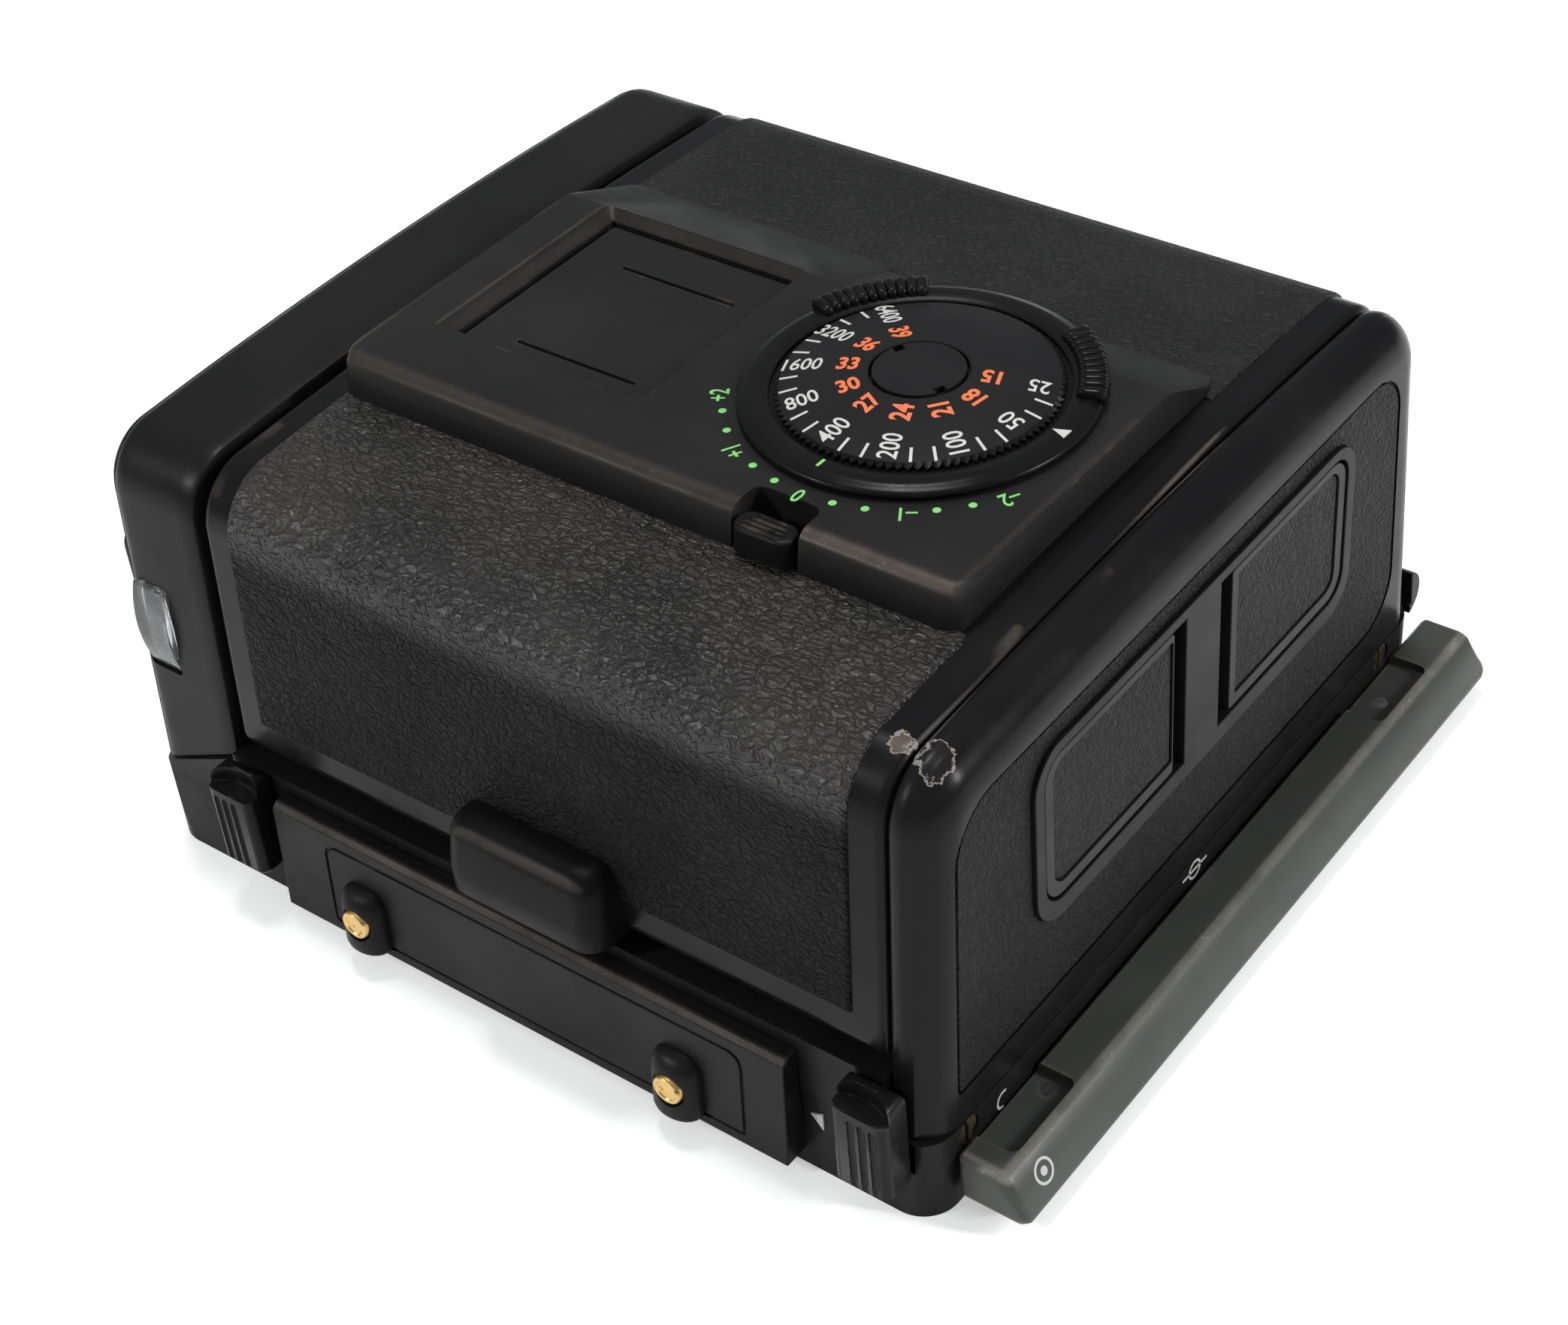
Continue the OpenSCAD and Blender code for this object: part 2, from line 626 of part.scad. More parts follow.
module guide_block() {
    block_y = -half_length(block_z0) - block_proud;
    color("#19191a") difference() {
        translate([block_x - block_w / 2, 0, 0]) rotate([90, 0, 90]) linear_extrude(block_w) polygon([
            [block_y + 0.6, block_z0], [block_y, block_z0 + 0.6], [block_y + 0.4, block_z0 + block_h - 2],
            [block_y + 1, block_z0 + block_h - 0.7], [block_y + 2.2, block_z0 + block_h],
            [0, block_z0 + block_h], [0, block_z0]]);
        section(x_left, x_right, -leather_t, 0);
    }
}

module catch_body(x, dir) {
    color("#171718") difference() {
        union() {
            translate([x, (catch_y + catch_y1) / 2, catch_z0]) linear_extrude(catch_h) rounded_rect(catch_w, catch_y1 - catch_y, 1.5);
            box(x - stem_w / 2, x + stem_w / 2, catch_y1 - eps, stem_y1, stem_z0, stem_z1);
        }
        for (i = [0:3]) translate([x + dir * (i * 1.2 - 1.4), catch_y, catch_z0 - 1]) cylinder(h = catch_h + 2, r = 0.35, $fn = 16);
    }
}

module catch_left() {
    catch_body(catch_left_x, -1);
}

module catch_right() {
    catch_body(catch_right_x, 1);
}

// Two lugs low on the back, which hang the magazine on the camera.
module rear_lugs() {
    lug_z = 10.2;
    color("#1b1b1c") for (x = [x_left + base_corner_r, x_right - 5.5]) difference() {
        shaft_x(x, x + 5, body_l / 2 - 1.2, lug_z, 2.6);
        section(x_left, x_right, 0, 0);
        section(x_left, x_right + 1, -gap, base_h);
    }
}

/* ---------- gear train and counter in the left cap ---------- */
crank_teeth = 28;
idler_teeth = 28;
transfer_teeth = 21;
counter_teeth = 15;
coupling_teeth = 17;
counter_y = -(half_length(spool_z) - wall - drum_r - drum_margin);
// the train fills the way from the crank to the counter, and that gives its module
gear_m = 2 * (spool_y - counter_y) / (crank_teeth + 2 * idler_teeth + 2 * transfer_teeth + counter_teeth);
idler_y = spool_y - gear_m * (crank_teeth + idler_teeth) / 2;
transfer_y = idler_y - gear_m * (idler_teeth + transfer_teeth) / 2;
coupling_z = spool_z - gear_m * (idler_teeth + coupling_teeth) / 2;
coupling_tip_r = gear_m * coupling_teeth / 2 + 0.8 * gear_m;
gear_x1 = x_bulk - 0.5;
gear_x0 = gear_x1 - gear_t;
stud_r = shaft_r - 0.5;
interlock_l = 5.5;
interlock_travel = 0.6;

// A spur gear about X with one tooth pointing at the angle phase in the YZ plane.
module gear(teeth, phase, y, z, bore) {
    pitch_r = gear_m * teeth / 2;
    step = 360 / teeth;
    translate([gear_x0, y, z]) rotate([90, 0, 90]) difference() {
        linear_extrude(gear_t) rotate(phase) polygon([for (i = [0:teeth - 1], k = [0:3]) let (
            r = (k == 1 || k == 2) ? pitch_r + 0.75 * gear_m : pitch_r - 1.05 * gear_m,
            a = i * step + [-0.3, -0.13, 0.13, 0.3][k] * step) [r * cos(a), r * sin(a)]]);
        translate([0, 0, -1]) cylinder(h = gear_t + 2, r = bore);
    }
}

module idler_gear() {
    color("#c9c4b0") gear(idler_teeth, 180 / idler_teeth, idler_y, spool_z, stud_r + fit);
}

module transfer_gear() {
    color("#c9c4b0") gear(transfer_teeth, 0, transfer_y, spool_z, stud_r + fit);
}

module counter_gear() {
    color("#c9c4b0") gear(counter_teeth, 0, counter_y, spool_z, stud_r + fit);
}

module coupling_gear() {
    color("#a89a5a") gear(coupling_teeth, 90, idler_y, coupling_z, stud_r + fit);
}

module crank_gear() {
    color("#c9c4b0") gear(crank_teeth, 0, spool_y, spool_z, shaft_r);
}

module gear_studs() {
    color("#8f8f8c") {
        for (p = [[idler_y, spool_z], [transfer_y, spool_z], [idler_y, coupling_z]])
            shaft_x(gear_x0 - 0.6, x_bulk + wall, p[0], p[1], stud_r);
        shaft_x(window_x - window_w / 2, x_bulk + wall, counter_y, spool_z, stud_r);
    }
}

module counter_drum() {
    color("#d8d8d2") difference() {
        union() {
            shaft_x(window_x - window_w / 2 + 0.2, gear_x0 - 0.4, counter_y, spool_z, drum_r);
            shaft_x(gear_x0 - 0.5, gear_x0, counter_y, spool_z, 3);
        }
        shaft_x(x_left, gear_x0 + 1, counter_y, spool_z, stud_r + fit);
    }
}

hub_x0 = x_left - pad_t;
hub_x1 = x_left - gap;
dog_x = x_bulk + wall + 0.5;
dog_t = 1;

// Hub with the two ears of the folding arm; the shaft ends in a flat dog that drives the take-up shaft.
module crank_shaft() {
    color("#222223") {
        shaft_x(hub_x0, hub_x1, spool_y, spool_z, well_r - gap);
        shaft_x(hub_x1 - eps, dog_x, spool_y, spool_z, shaft_r);
        box(dog_x - eps, dog_x + 1, spool_y - dog_t / 2, spool_y + dog_t / 2, spool_z - 1.6, spool_z + 1.6);
        for (s = [-1, 1]) difference() {
            translate([0, 0, spool_z + s * (arm_w / 2 + gap + 0.5)]) box(arm_x - arm_t / 2, hub_x0 + eps, arm_y - 1.2, arm_y + 1.2, -0.5, 0.5);
            translate([arm_x, arm_y, spool_z - arm_w]) cylinder(h = 2 * arm_w, r = arm_pin_r);
        }
    }
}

arm_t = 1.3;
arm_pin_r = 0.4;
arm_x = hub_x0 - gap - arm_t / 2;
arm_y = spool_y + well_r - 2.8;

module crank_arm() {
    color("#202021") difference() {
        union() {
            translate([arm_x, arm_y, spool_z - arm_w / 2]) cylinder(h = arm_w, r = arm_t / 2);
            box(arm_x - arm_t / 2, arm_x + arm_t / 2, arm_y - arm_l, arm_y, spool_z - arm_w / 2, spool_z + arm_w / 2);
            shaft_x(arm_x - arm_t / 2, arm_x + arm_t / 2, arm_y - arm_l, spool_z, arm_w / 2);
        }
        translate([arm_x, arm_y, spool_z - arm_w]) cylinder(h = 2 * arm_w, r = arm_pin_r + fit);
    }
}

module crank_pin() {
    ear = arm_w / 2 + gap + 1;
    color("#9c9c98") translate([arm_x, arm_y, spool_z - ear]) cylinder(h = 2 * ear, r = arm_pin_r);
}

/* ---------- dark slide ---------- */
blade_x0 = x_bulk + 3;
handle_x0 = x_right + gap;
handle_y0 = -body_l / 2 + 2.9;
handle_z0 = blade_z - handle_t / 2 - 0.15;
handle_z1 = handle_z0 + handle_t;
pocket_l = 9.6;
pocket_y = [handle_y0 + 3.2, handle_y0 + handle_l - 5.4 - pocket_l];
rivet_x = handle_x0 + 2;
rivet_y = [handle_y0 + 11, handle_y0 + handle_l - 13.4];
rivet_r = 0.8;

module dark_slide_blade() {
    color("#9a9a96") difference() {
        box(blade_x0, handle_x0 + handle_w / 2, -blade_w / 2, blade_w / 2, blade_z - blade_t / 2, blade_z + blade_t / 2);
        for (y = rivet_y) translate([rivet_x, y, 0]) cylinder(h = 2 * blade_z, r = rivet_r);
    }
}

module dark_slide_handle() {
    color("#50534e") difference() {
        translate([0, handle_y0 + handle_l, 0]) rotate([90, 0, 0]) linear_extrude(handle_l) polygon([
            [handle_x0, handle_z0], [handle_x0 + handle_w - 0.6, handle_z0], [handle_x0 + handle_w, handle_z0 + 0.8],
            [handle_x0 + handle_w - handle_slope_w + 0.2, handle_z1 - 0.3],
            [handle_x0 + handle_w - handle_slope_w - 0.4, handle_z1], [handle_x0, handle_z1]]);
        box(handle_x0 - 1, handle_x0 + handle_w / 2, -blade_w / 2, blade_w / 2, blade_z - blade_t / 2, blade_z + blade_t / 2);
        for (y = pocket_y) box(handle_x0 - 1, handle_x0 + handle_w - handle_slope_w - 0.8, y, y + pocket_l, handle_z1 - pocket_depth, handle_z1 + 1);
        for (y = rivet_y) translate([rivet_x, y, handle_z0 - 1]) cylinder(h = handle_t + 2, r = rivet_r);
    }
}

module handle_rivets() {
    color("#b9b9b4") for (y = rivet_y)
        translate([rivet_x, y, handle_z0 + 0.2]) cylinder(h = handle_t - pocket_depth - 0.4, r = rivet_r);
}

module slide_seal() {
    color("#0e0e0e") box(x_end - 4, x_end, -blade_w / 2, blade_w / 2, blade_z + blade_t / 2 + gap, blade_z + slot_t / 2 + 0.8);
}

interlock_x = blade_x0 - 1.8;
interlock_y = -body_l / 2 + 18;
interlock_r = 1.2;

module interlock_pin() {
    color("#a0a09c") translate([interlock_x, interlock_y, 0.3]) cylinder(h = interlock_l, r = interlock_r);
}

/* ---------- insert: end cover and squeeze latch ---------- */
end_z0 = base_h + gap;
panel_y0 = -half_length(end_leather_z0) + end_leather_margin;
panel_y1 = half_length(end_leather_z0) - end_leather_margin - 2;
latch_y = -0.4;
button_h = latch_h - 2 * latch_rim - 2 * gap;
button_l = (latch_l - 2 * latch_rim - latch_bar_w) / 2 - squeeze_travel - 2 * gap;
button_front_y = latch_y - latch_l / 2 + latch_rim + gap + button_l / 2;
button_back_y = latch_y + latch_l / 2 - latch_rim - gap - button_l / 2;
button_proud = 0.3;
hook_l = 5;
hook_y = 15;
pocket_t = 3;

module end_cover() {
    color("#18181a") difference() {
        rounded_section(x_end, x_right, end_edge_r, end_z0);
        end_plate(x_right + 2, latch_y, latch_z, latch_l - 2 * latch_rim, latch_h - 2 * latch_rim, 3, pocket_t + 2);
        for (s = [-1, 1]) box(x_end - 1, x_right - pocket_t + 1, latch_y + s * hook_y - 3.6, latch_y + s * hook_y + 3.6,
            latch_z + 4, latch_z + button_h / 2);
        // step that seats the leather and the latch trim
        translate([x_right - leather_t, 0, 0]) rotate([90, 0, 90]) linear_extrude(2) end_panel();
    }
}

module end_panel() {
    rise = end_leather_z1 - end_leather_z0;
    lean = rise * tan(side_taper);
    intersection() {
        polygon([[panel_y0, end_leather_z0], [panel_y1, end_leather_z0],
            [panel_y1 - lean, end_leather_z1], [panel_y0 + lean, end_leather_z1]]);
        translate([(panel_y0 + panel_y1) / 2, (end_leather_z0 + end_leather_z1) / 2])
            rounded_rect(panel_y1 - panel_y0 - lean / 2, rise, 4.5);
    }
}

module end_leather() {
    color("#151515") translate([x_right - leather_t, 0, 0]) rotate([90, 0, 90]) linear_extrude(leather_t + 0.1) difference() {
        end_panel();
        translate([latch_y, latch_z]) rounded_rect(latch_l, latch_h, 4.5);
    }
}

module latch_trim() {
    color("#17171a") {
        difference() {
            end_plate(x_right + 0.5, latch_y, latch_z, latch_l, latch_h, 4.5, 0.5 + leather_t);
            end_plate(x_right + 2, latch_y, latch_z, latch_l - 2 * latch_rim, latch_h - 2 * latch_rim, 3, 4);
        }
        box(x_right - pocket_t, x_right + 0.5, latch_y - latch_bar_w / 2, latch_y + latch_bar_w / 2,
            latch_z - latch_h / 2 + latch_rim, latch_z + latch_h / 2 - latch_rim);
    }
}

module squeeze_button(y) {
    color("#161617") end_plate(x_right + button_proud, y, latch_z, button_l, button_h, 2.6, pocket_t + button_proud - 0.5);
}

module squeeze_button_front() {
    squeeze_button(button_front_y);
}

module squeeze_button_back() {
    squeeze_button(button_back_y);
}

// The hook rides on its button and reaches through the cover to the keeper notch in the roof of the housing.
module latch_hook(s) {
    y = latch_y + s * hook_y;
    z1 = latch_z + button_h / 2 - gap;
    color("#90908c") {
        box(x_end - hook_l, x_right - pocket_t + 0.5, y - 1.6, y + 1.6, z1 - 1.6, z1);
        box(x_end - hook_l, x_end - hook_l + 1.4, y - 1.6, y + 1.6, z1 - eps, body_h - 2 * wall - 1);
    }
}

module latch_hook_front() {
    latch_hook(-1);
}

module latch_hook_back() {
    latch_hook(1);
}

/* ---------- insert: frame and film path ---------- */
plate_in = 2 * wall + sleeve_gap + 0.8;
insert_z0 = base_h + gap;
rail_t = 1.2;
insert_x1 = spool_l / 2 + 0.4 + wall;
insert_top = corner_z - 0.5;
film_z = insert_z0 + rail_t;

module insert_frame() {
    color("#26262a") difference() {
        union() {
            box(insert_x0, x_end, -roller_y - 2, roller_y + 2, insert_z0, film_z);
            for (x = [insert_x0, insert_x1 - wall]) intersection() {
                section(x, x + wall, plate_in, insert_z0);
                box(x - 1, x + wall + 1, -body_l, body_l, 0, insert_top);
            }
            for (s = [-1, 1]) shaft_x(insert_x1 - eps, x_end, s * (roller_y - 4), roller_z + 3, 2);
        }
        translate([0, 0, insert_z0 - 1]) linear_extrude(rail_t + 2) rounded_rect(gate_size, gate_size, 1);
        shaft_x(insert_x0 - 1, insert_x0 + wall + 1, spool_y, spool_z, spool_bore_r + fit);
        shaft_x(insert_x0 - 1, insert_x0 + wall + 1, -spool_y, spool_z, spool_bore_r);
        for (s = [-1, 1]) shaft_x(insert_x1 - wall - 1, insert_x1 + 1, s * spool_y, spool_z, spool_bore_r);
        for (s = [-1, 1]) shaft_x(insert_x0 - 1, insert_x1 + 1, s * roller_y, roller_z, pin_r);
        for (s = [-1, 1]) box(insert_x0 + wall + 0.2, insert_x1 - wall - 0.2, s * (roller_y + 1.4) - 2, s * (roller_y + 1.4) + 2, 0, film_z + 1);
    }
}

module insert_bridge() {
    color("#2a2a2e") box(insert_x0 + wall, insert_x1 - wall, -4.5, 4.5, bridge_z, bridge_z + 1.4);
}

bridge_z = 17.5;
roller_z = film_z + roller_r + 0.3;
pin_r = 1;

// A film spool about X at y, with a blind bore in each end.
module spool(y) {
    color("#1a1a1c") difference() {
        union() {
            shaft_x(-spool_l / 2, spool_l / 2, y, spool_z, core_r);
            for (x = [-spool_l / 2, spool_l / 2 - 1.2]) shaft_x(x, x + 1.2, y, spool_z, spool_r);
        }
        for (x = [-spool_l / 2 - 1, spool_l / 2 - 6]) shaft_x(x, x + 7, y, spool_z, spool_bore_r + fit);
        box(-spool_l * 0.3, spool_l * 0.3, y - 0.6, y + 0.6, spool_z - core_r - 1, spool_z + core_r + 1);
    }
}

module supply_spool() {
    spool(-spool_y);
}

module takeup_spool() {
    spool(spool_y);
}

module takeup_shaft() {
    slot = dog_t + 2 * gap;
    color("#9c9c98") difference() {
        shaft_x(insert_x0, -spool_l / 2 + 5.5, spool_y, spool_z, spool_bore_r);
        box(insert_x0 - 1, dog_x + 1 + gap, spool_y - slot / 2, spool_y + slot / 2, spool_z - 5, spool_z + 5);
    }
}

module spool_pins() {
    color("#9c9c98") {
        shaft_x(insert_x0, -spool_l / 2 + 5.5, -spool_y, spool_z, spool_bore_r);
        for (s = [-1, 1]) shaft_x(spool_l / 2 - 5.5, insert_x1, s * spool_y, spool_z, spool_bore_r);
    }
}

module film_roller(y) {
    color("#b8b8b2") difference() {
        shaft_x(-spool_l / 2 + 1, spool_l / 2 - 1, y, roller_z, roller_r);
        shaft_x(-spool_l, spool_l, y, roller_z, pin_r + fit);
    }
}

module film_roller_supply() {
    film_roller(-roller_y);
}

module film_roller_takeup() {
    film_roller(roller_y);
}

module roller_pins() {
    color("#9c9c98") for (s = [-1, 1]) shaft_x(insert_x0, insert_x1, s * roller_y, roller_z, pin_r);
}

module pressure_plate() {
    color("#232324") translate([0, 0, film_z + gap]) linear_extrude(pressure_t) rounded_rect(gate_size + 6, 2 * (roller_y - roller_r) - 6, 2);
}

spring_r = 2.6;
spring_wire = 0.35;
spring_turns = 3;
spring_z0 = film_z + gap + pressure_t + spring_wire;
spring_z1 = bridge_z - spring_wire;

// Helical spring: rings of wire points swept up the axis and joined into one closed skin.
module coil_spring() {
    rings = spring_turns * 12;
    sides = 6;
    points = [for (i = [0:rings], k = [0:sides - 1]) let (
        a = 360 * spring_turns * i / rings, b = 360 * k / sides, r = spring_r + spring_wire * cos(b))
        [r * cos(a), r * sin(a), spring_z0 + (spring_z1 - spring_z0) * i / rings + spring_wire * sin(b)]];
    skin = [for (i = [0:rings - 1], k = [0:sides - 1])
        [i * sides + k, (i + 1) * sides + k, (i + 1) * sides + (k + 1) % sides, i * sides + (k + 1) % sides]];
    first = [for (k = [0:sides - 1]) k];
    last = [for (k = [sides - 1:-1:0]) rings * sides + k];
    polyhedron(points, concat(skin, [first, last]));
}

module pressure_springs() {
    color("#a8a8a2") for (x = [-1, 1]) translate([x * (gate_size / 2 - 10), 0, 0]) coil_spring();
}

base_frame();
gate_seal();
housing();
left_cap();
front_leather();
back_leather();
dial_plate();
dial_post();
compensation_ring();
speed_disc();
dial_nut();
lock_button();
contact_strip();
contact_pins();
guide_block();
catch_left();
catch_right();
rear_lugs();
counter_window();
counter_drum();
counter_gear();
crank_shaft();
crank_gear();
crank_arm();
crank_pin();
idler_gear();
transfer_gear();
coupling_gear();
gear_studs();
dark_slide_blade();
dark_slide_handle();
handle_rivets();
slide_seal();
interlock_pin();
end_cover();
end_leather();
latch_trim();
squeeze_button_front();
squeeze_button_back();
latch_hook_front();
latch_hook_back();
insert_frame();
insert_bridge();
supply_spool();
takeup_spool();
takeup_shaft();
spool_pins();
film_roller_supply();
film_roller_takeup();
roller_pins();
pressure_plate();
pressure_springs();
side_screws();
base_screws();
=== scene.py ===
import math
import bpy
import bmesh
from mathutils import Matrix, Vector


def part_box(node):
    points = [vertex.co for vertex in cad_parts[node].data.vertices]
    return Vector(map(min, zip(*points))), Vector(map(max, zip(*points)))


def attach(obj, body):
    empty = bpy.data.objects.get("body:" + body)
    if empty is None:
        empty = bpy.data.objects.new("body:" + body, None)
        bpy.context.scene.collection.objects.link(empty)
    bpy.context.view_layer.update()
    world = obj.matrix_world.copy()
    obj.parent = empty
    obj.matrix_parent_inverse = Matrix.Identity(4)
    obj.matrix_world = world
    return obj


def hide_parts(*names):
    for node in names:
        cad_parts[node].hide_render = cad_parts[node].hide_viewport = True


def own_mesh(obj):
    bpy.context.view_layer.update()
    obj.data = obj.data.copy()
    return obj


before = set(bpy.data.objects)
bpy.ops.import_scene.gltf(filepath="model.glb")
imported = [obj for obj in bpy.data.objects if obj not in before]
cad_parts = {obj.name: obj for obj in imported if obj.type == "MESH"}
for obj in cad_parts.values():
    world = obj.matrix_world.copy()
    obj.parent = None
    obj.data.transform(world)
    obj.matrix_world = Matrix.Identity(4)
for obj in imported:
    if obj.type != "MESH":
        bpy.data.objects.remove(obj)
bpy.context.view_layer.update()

# ---------- Stand, lamps and camera ----------
# The magazine lies on its mating face on a white table, lit by two small windows and a ceiling lamp in a
# pale room. The camera looks down on the corner between the contact strip and the dark slide.
FLOOR_WHITE = (0.86, 0.86, 0.86, 1)
GLOW_WHITE = (1, 1, 1, 1)
TABLE_GLOW = 0.42
TABLE_HALF = 3.0
LAMP_AIM = (0, 0, 0.03)
ROOM_LOW = (0.20, 0.205, 0.21, 1)
ROOM_HIGH = (0.42, 0.43, 0.44, 1)
CAMERA_AT = (0.13698, -0.16174, 0.18548)
CAMERA_TURN = (50.463, 4.323, 36.823)
CAMERA_LENS = 64.36


def new_material(name):
    material = bpy.data.materials.new(name)
    material.use_nodes = True
    return material, material.node_tree, material.node_tree.nodes["Principled BSDF"]


def add(tree, kind, inputs=(), **settings):
    """Adds one shader node. An input is a value, or the output of another node."""
    node = tree.nodes.new("ShaderNode" + kind)
    for key, value in settings.items():
        setattr(node, key, value)
    for key, value in dict(inputs).items():
        if isinstance(value, bpy.types.NodeSocket):
            tree.links.new(value, node.inputs[key])
        else:
            node.inputs[key].default_value = value
    return node


def maths(tree, operation, *values):
    """The result of one Math node."""
    return add(tree, "Math", dict(enumerate(values)), operation=operation).outputs[0]


def product(tree, first, *others):
    """All values multiplied together."""
    for value in others:
        first = maths(tree, "MULTIPLY", first, value)
    return first


def vectors(tree, operation, first, second):
    """One step on two vectors. A distance or a dot product comes out as a number."""
    slot = "Scale" if operation == "SCALE" else 1
    node = add(tree, "VectorMath", {0: first, slot: second}, operation=operation)
    return node.outputs["Value" if operation in ("DISTANCE", "DOT_PRODUCT") else "Vector"]


def coat(tree, shader, colour, rough, height=None, strength=0.0, depth=0.0, specular=None):
    """Sets a shader's colour, roughness and gloss, and bumps it with height, depth metres deep."""
    for name, value in (("Base Color", colour), ("Roughness", rough), ("Specular IOR Level", specular)):
        if isinstance(value, bpy.types.NodeSocket):
            tree.links.new(value, shader.inputs[name])
        elif value is not None:
            shader.inputs[name].default_value = value
    if height is not None:
        bump = add(tree, "Bump", {"Height": height, "Strength": strength, "Distance": depth})
        tree.links.new(bump.outputs[0], shader.inputs["Normal"])


def seen_directly(tree):
    """1 where the camera, a mirror-like surface or clear plastic shows the background."""
    path = add(tree, "LightPath")
    either = maths(tree, "MAXIMUM", path.outputs["Is Camera Ray"], path.outputs["Is Glossy Ray"])
    return maths(tree, "MAXIMUM", either, path.outputs["Is Transmission Ray"])


def put(data, name):
    thing = bpy.data.objects.new(name, data)
    bpy.context.scene.collection.objects.link(thing)
    return thing


room = bpy.data.worlds.new("pale_room")
room.use_nodes = True
room_tree = room.node_tree
room_up = add(room_tree, "SeparateXYZ", {0: add(room_tree, "TexCoord").outputs["Generated"]}).outputs[2]
room_share = add(room_tree, "MapRange", {0: room_up, 1: -0.1, 2: 0.9}).outputs[0]
room_colour = add(room_tree, "Mix", {0: room_share, 6: ROOM_LOW, 7: ROOM_HIGH}, data_type="RGBA")
room_tree.links.new(room_colour.outputs[2], room_tree.nodes["Background"].inputs["Color"])
room_tree.nodes["Background"].inputs["Strength"].default_value = 1.0
bpy.context.scene.world = room

table_mesh = bpy.data.meshes.new("table")
table_mesh.from_pydata([(-TABLE_HALF, -TABLE_HALF, 0), (TABLE_HALF, -TABLE_HALF, 0),
                        (TABLE_HALF, TABLE_HALF, 0), (-TABLE_HALF, TABLE_HALF, 0)], [], [(0, 1, 2, 3)])
table = put(table_mesh, "table")
table_paint, tree, shader = new_material("table_paint")
coat(tree, shader, FLOOR_WHITE, 0.9)
shader.inputs["Emission Color"].default_value = GLOW_WHITE
tree.links.new(product(tree, seen_directly(tree), TABLE_GLOW), shader.inputs["Emission Strength"])
table_mesh.materials.append(table_paint)

for name, at, width, height, watts in (("window", (-0.42, -0.62, 0.5), 0.06, 0.15, 2.6),
                                       ("ceiling_lamp", (-0.12, 0.1, 0.85), 0.14, 0.14, 3.5),
                                       ("side_window", (0.62, 0.2, 0.36), 0.06, 0.2, 3.0)):
    lamp = bpy.data.lights.new(name, "AREA")
    lamp.shape = "RECTANGLE"
    lamp.size, lamp.size_y = width, height
    lamp.energy = watts
    holder = put(lamp, name)
    holder.location = at
    holder.rotation_euler = (Vector(LAMP_AIM) - Vector(at)).to_track_quat("-Z", "Y").to_euler()

camera_data = bpy.data.cameras.new("camera")
camera_data.sensor_width = 36
camera_data.lens = CAMERA_LENS
camera_data.clip_start = 0.01
camera = put(camera_data, "camera")
camera.location = CAMERA_AT
camera.rotation_euler = [math.radians(a) for a in CAMERA_TURN]
bpy.context.scene.camera = camera
bpy.context.scene.view_settings.view_transform = "Standard"


# ---------- Base frame ----------
# The base is one satin black moulding that carries the film gate, the dark slide and the locating holes.
# Its edges are slightly broken, and handling has polished them.
MOULDING_BLACK = (0.008, 0.008, 0.0083, 1)
MOULDING_GREY = (0.0115, 0.0114, 0.0112, 1)
WORN_BROWN = (0.085, 0.072, 0.058, 1)
BASE_EDGE = 0.3


def object_point(tree, scale=(1, 1, 1)):
    """The point in the part's own metres, so that a finish stays on a piece that moves."""
    place = add(tree, "TexCoord")
    return add(tree, "Mapping", {0: place.outputs["Object"], 3: scale}).outputs[0]


def noise(tree, point, scale, detail=3.0, rough=0.55):
    return add(tree, "TexNoise", {"Vector": point, "Scale": scale, "Detail": detail,
                                  "Roughness": rough}).outputs["Fac"]


def ramp(tree, value, low, high, to_low=0.0, to_high=1.0):
    return add(tree, "MapRange", {0: value, 1: low, 2: high, 3: to_low, 4: to_high},
               interpolation_type="SMOOTHSTEP").outputs[0]


def blend_colour(tree, factor, first, second):
    return add(tree, "Mix", {0: factor, 6: first, 7: second}, data_type="RGBA").outputs[2]


def edge_wear(tree, point, radius, amount, patch_scale=260):
    """1 on rubbed edges. It compares the true face with one whose edges are rounded by radius."""
    rounded = add(tree, "Bevel", {"Radius": radius}, samples=4)
    plain = add(tree, "NewGeometry")
    turn = vectors(tree, "DOT_PRODUCT", rounded.outputs[0], plain.outputs["Normal"])
    edge = ramp(tree, turn, 0.995, 0.86)
    patch = ramp(tree, noise(tree, point, patch_scale, 4, 0.65), 0.62 - 0.2 * amount, 0.72 - 0.1 * amount)
    return product(tree, edge, patch, amount)


def near_line(tree, start, end, radius):
    """1 on the straight line from start to end in millimetres, falling to 0 at radius from it."""
    first, last = Vector(start) / 1000, Vector(end) / 1000
    run = last - first
    offset = vectors(tree, "SUBTRACT", object_point(tree), tuple(first))
    along = vectors(tree, "DOT_PRODUCT", offset, tuple(run / run.length_squared))
    held = add(tree, "Clamp", {0: along}).outputs[0]
    away = vectors(tree, "DISTANCE", offset, vectors(tree, "SCALE", tuple(run), held))
    return ramp(tree, away, radius / 1000, radius * 0.25 / 1000)


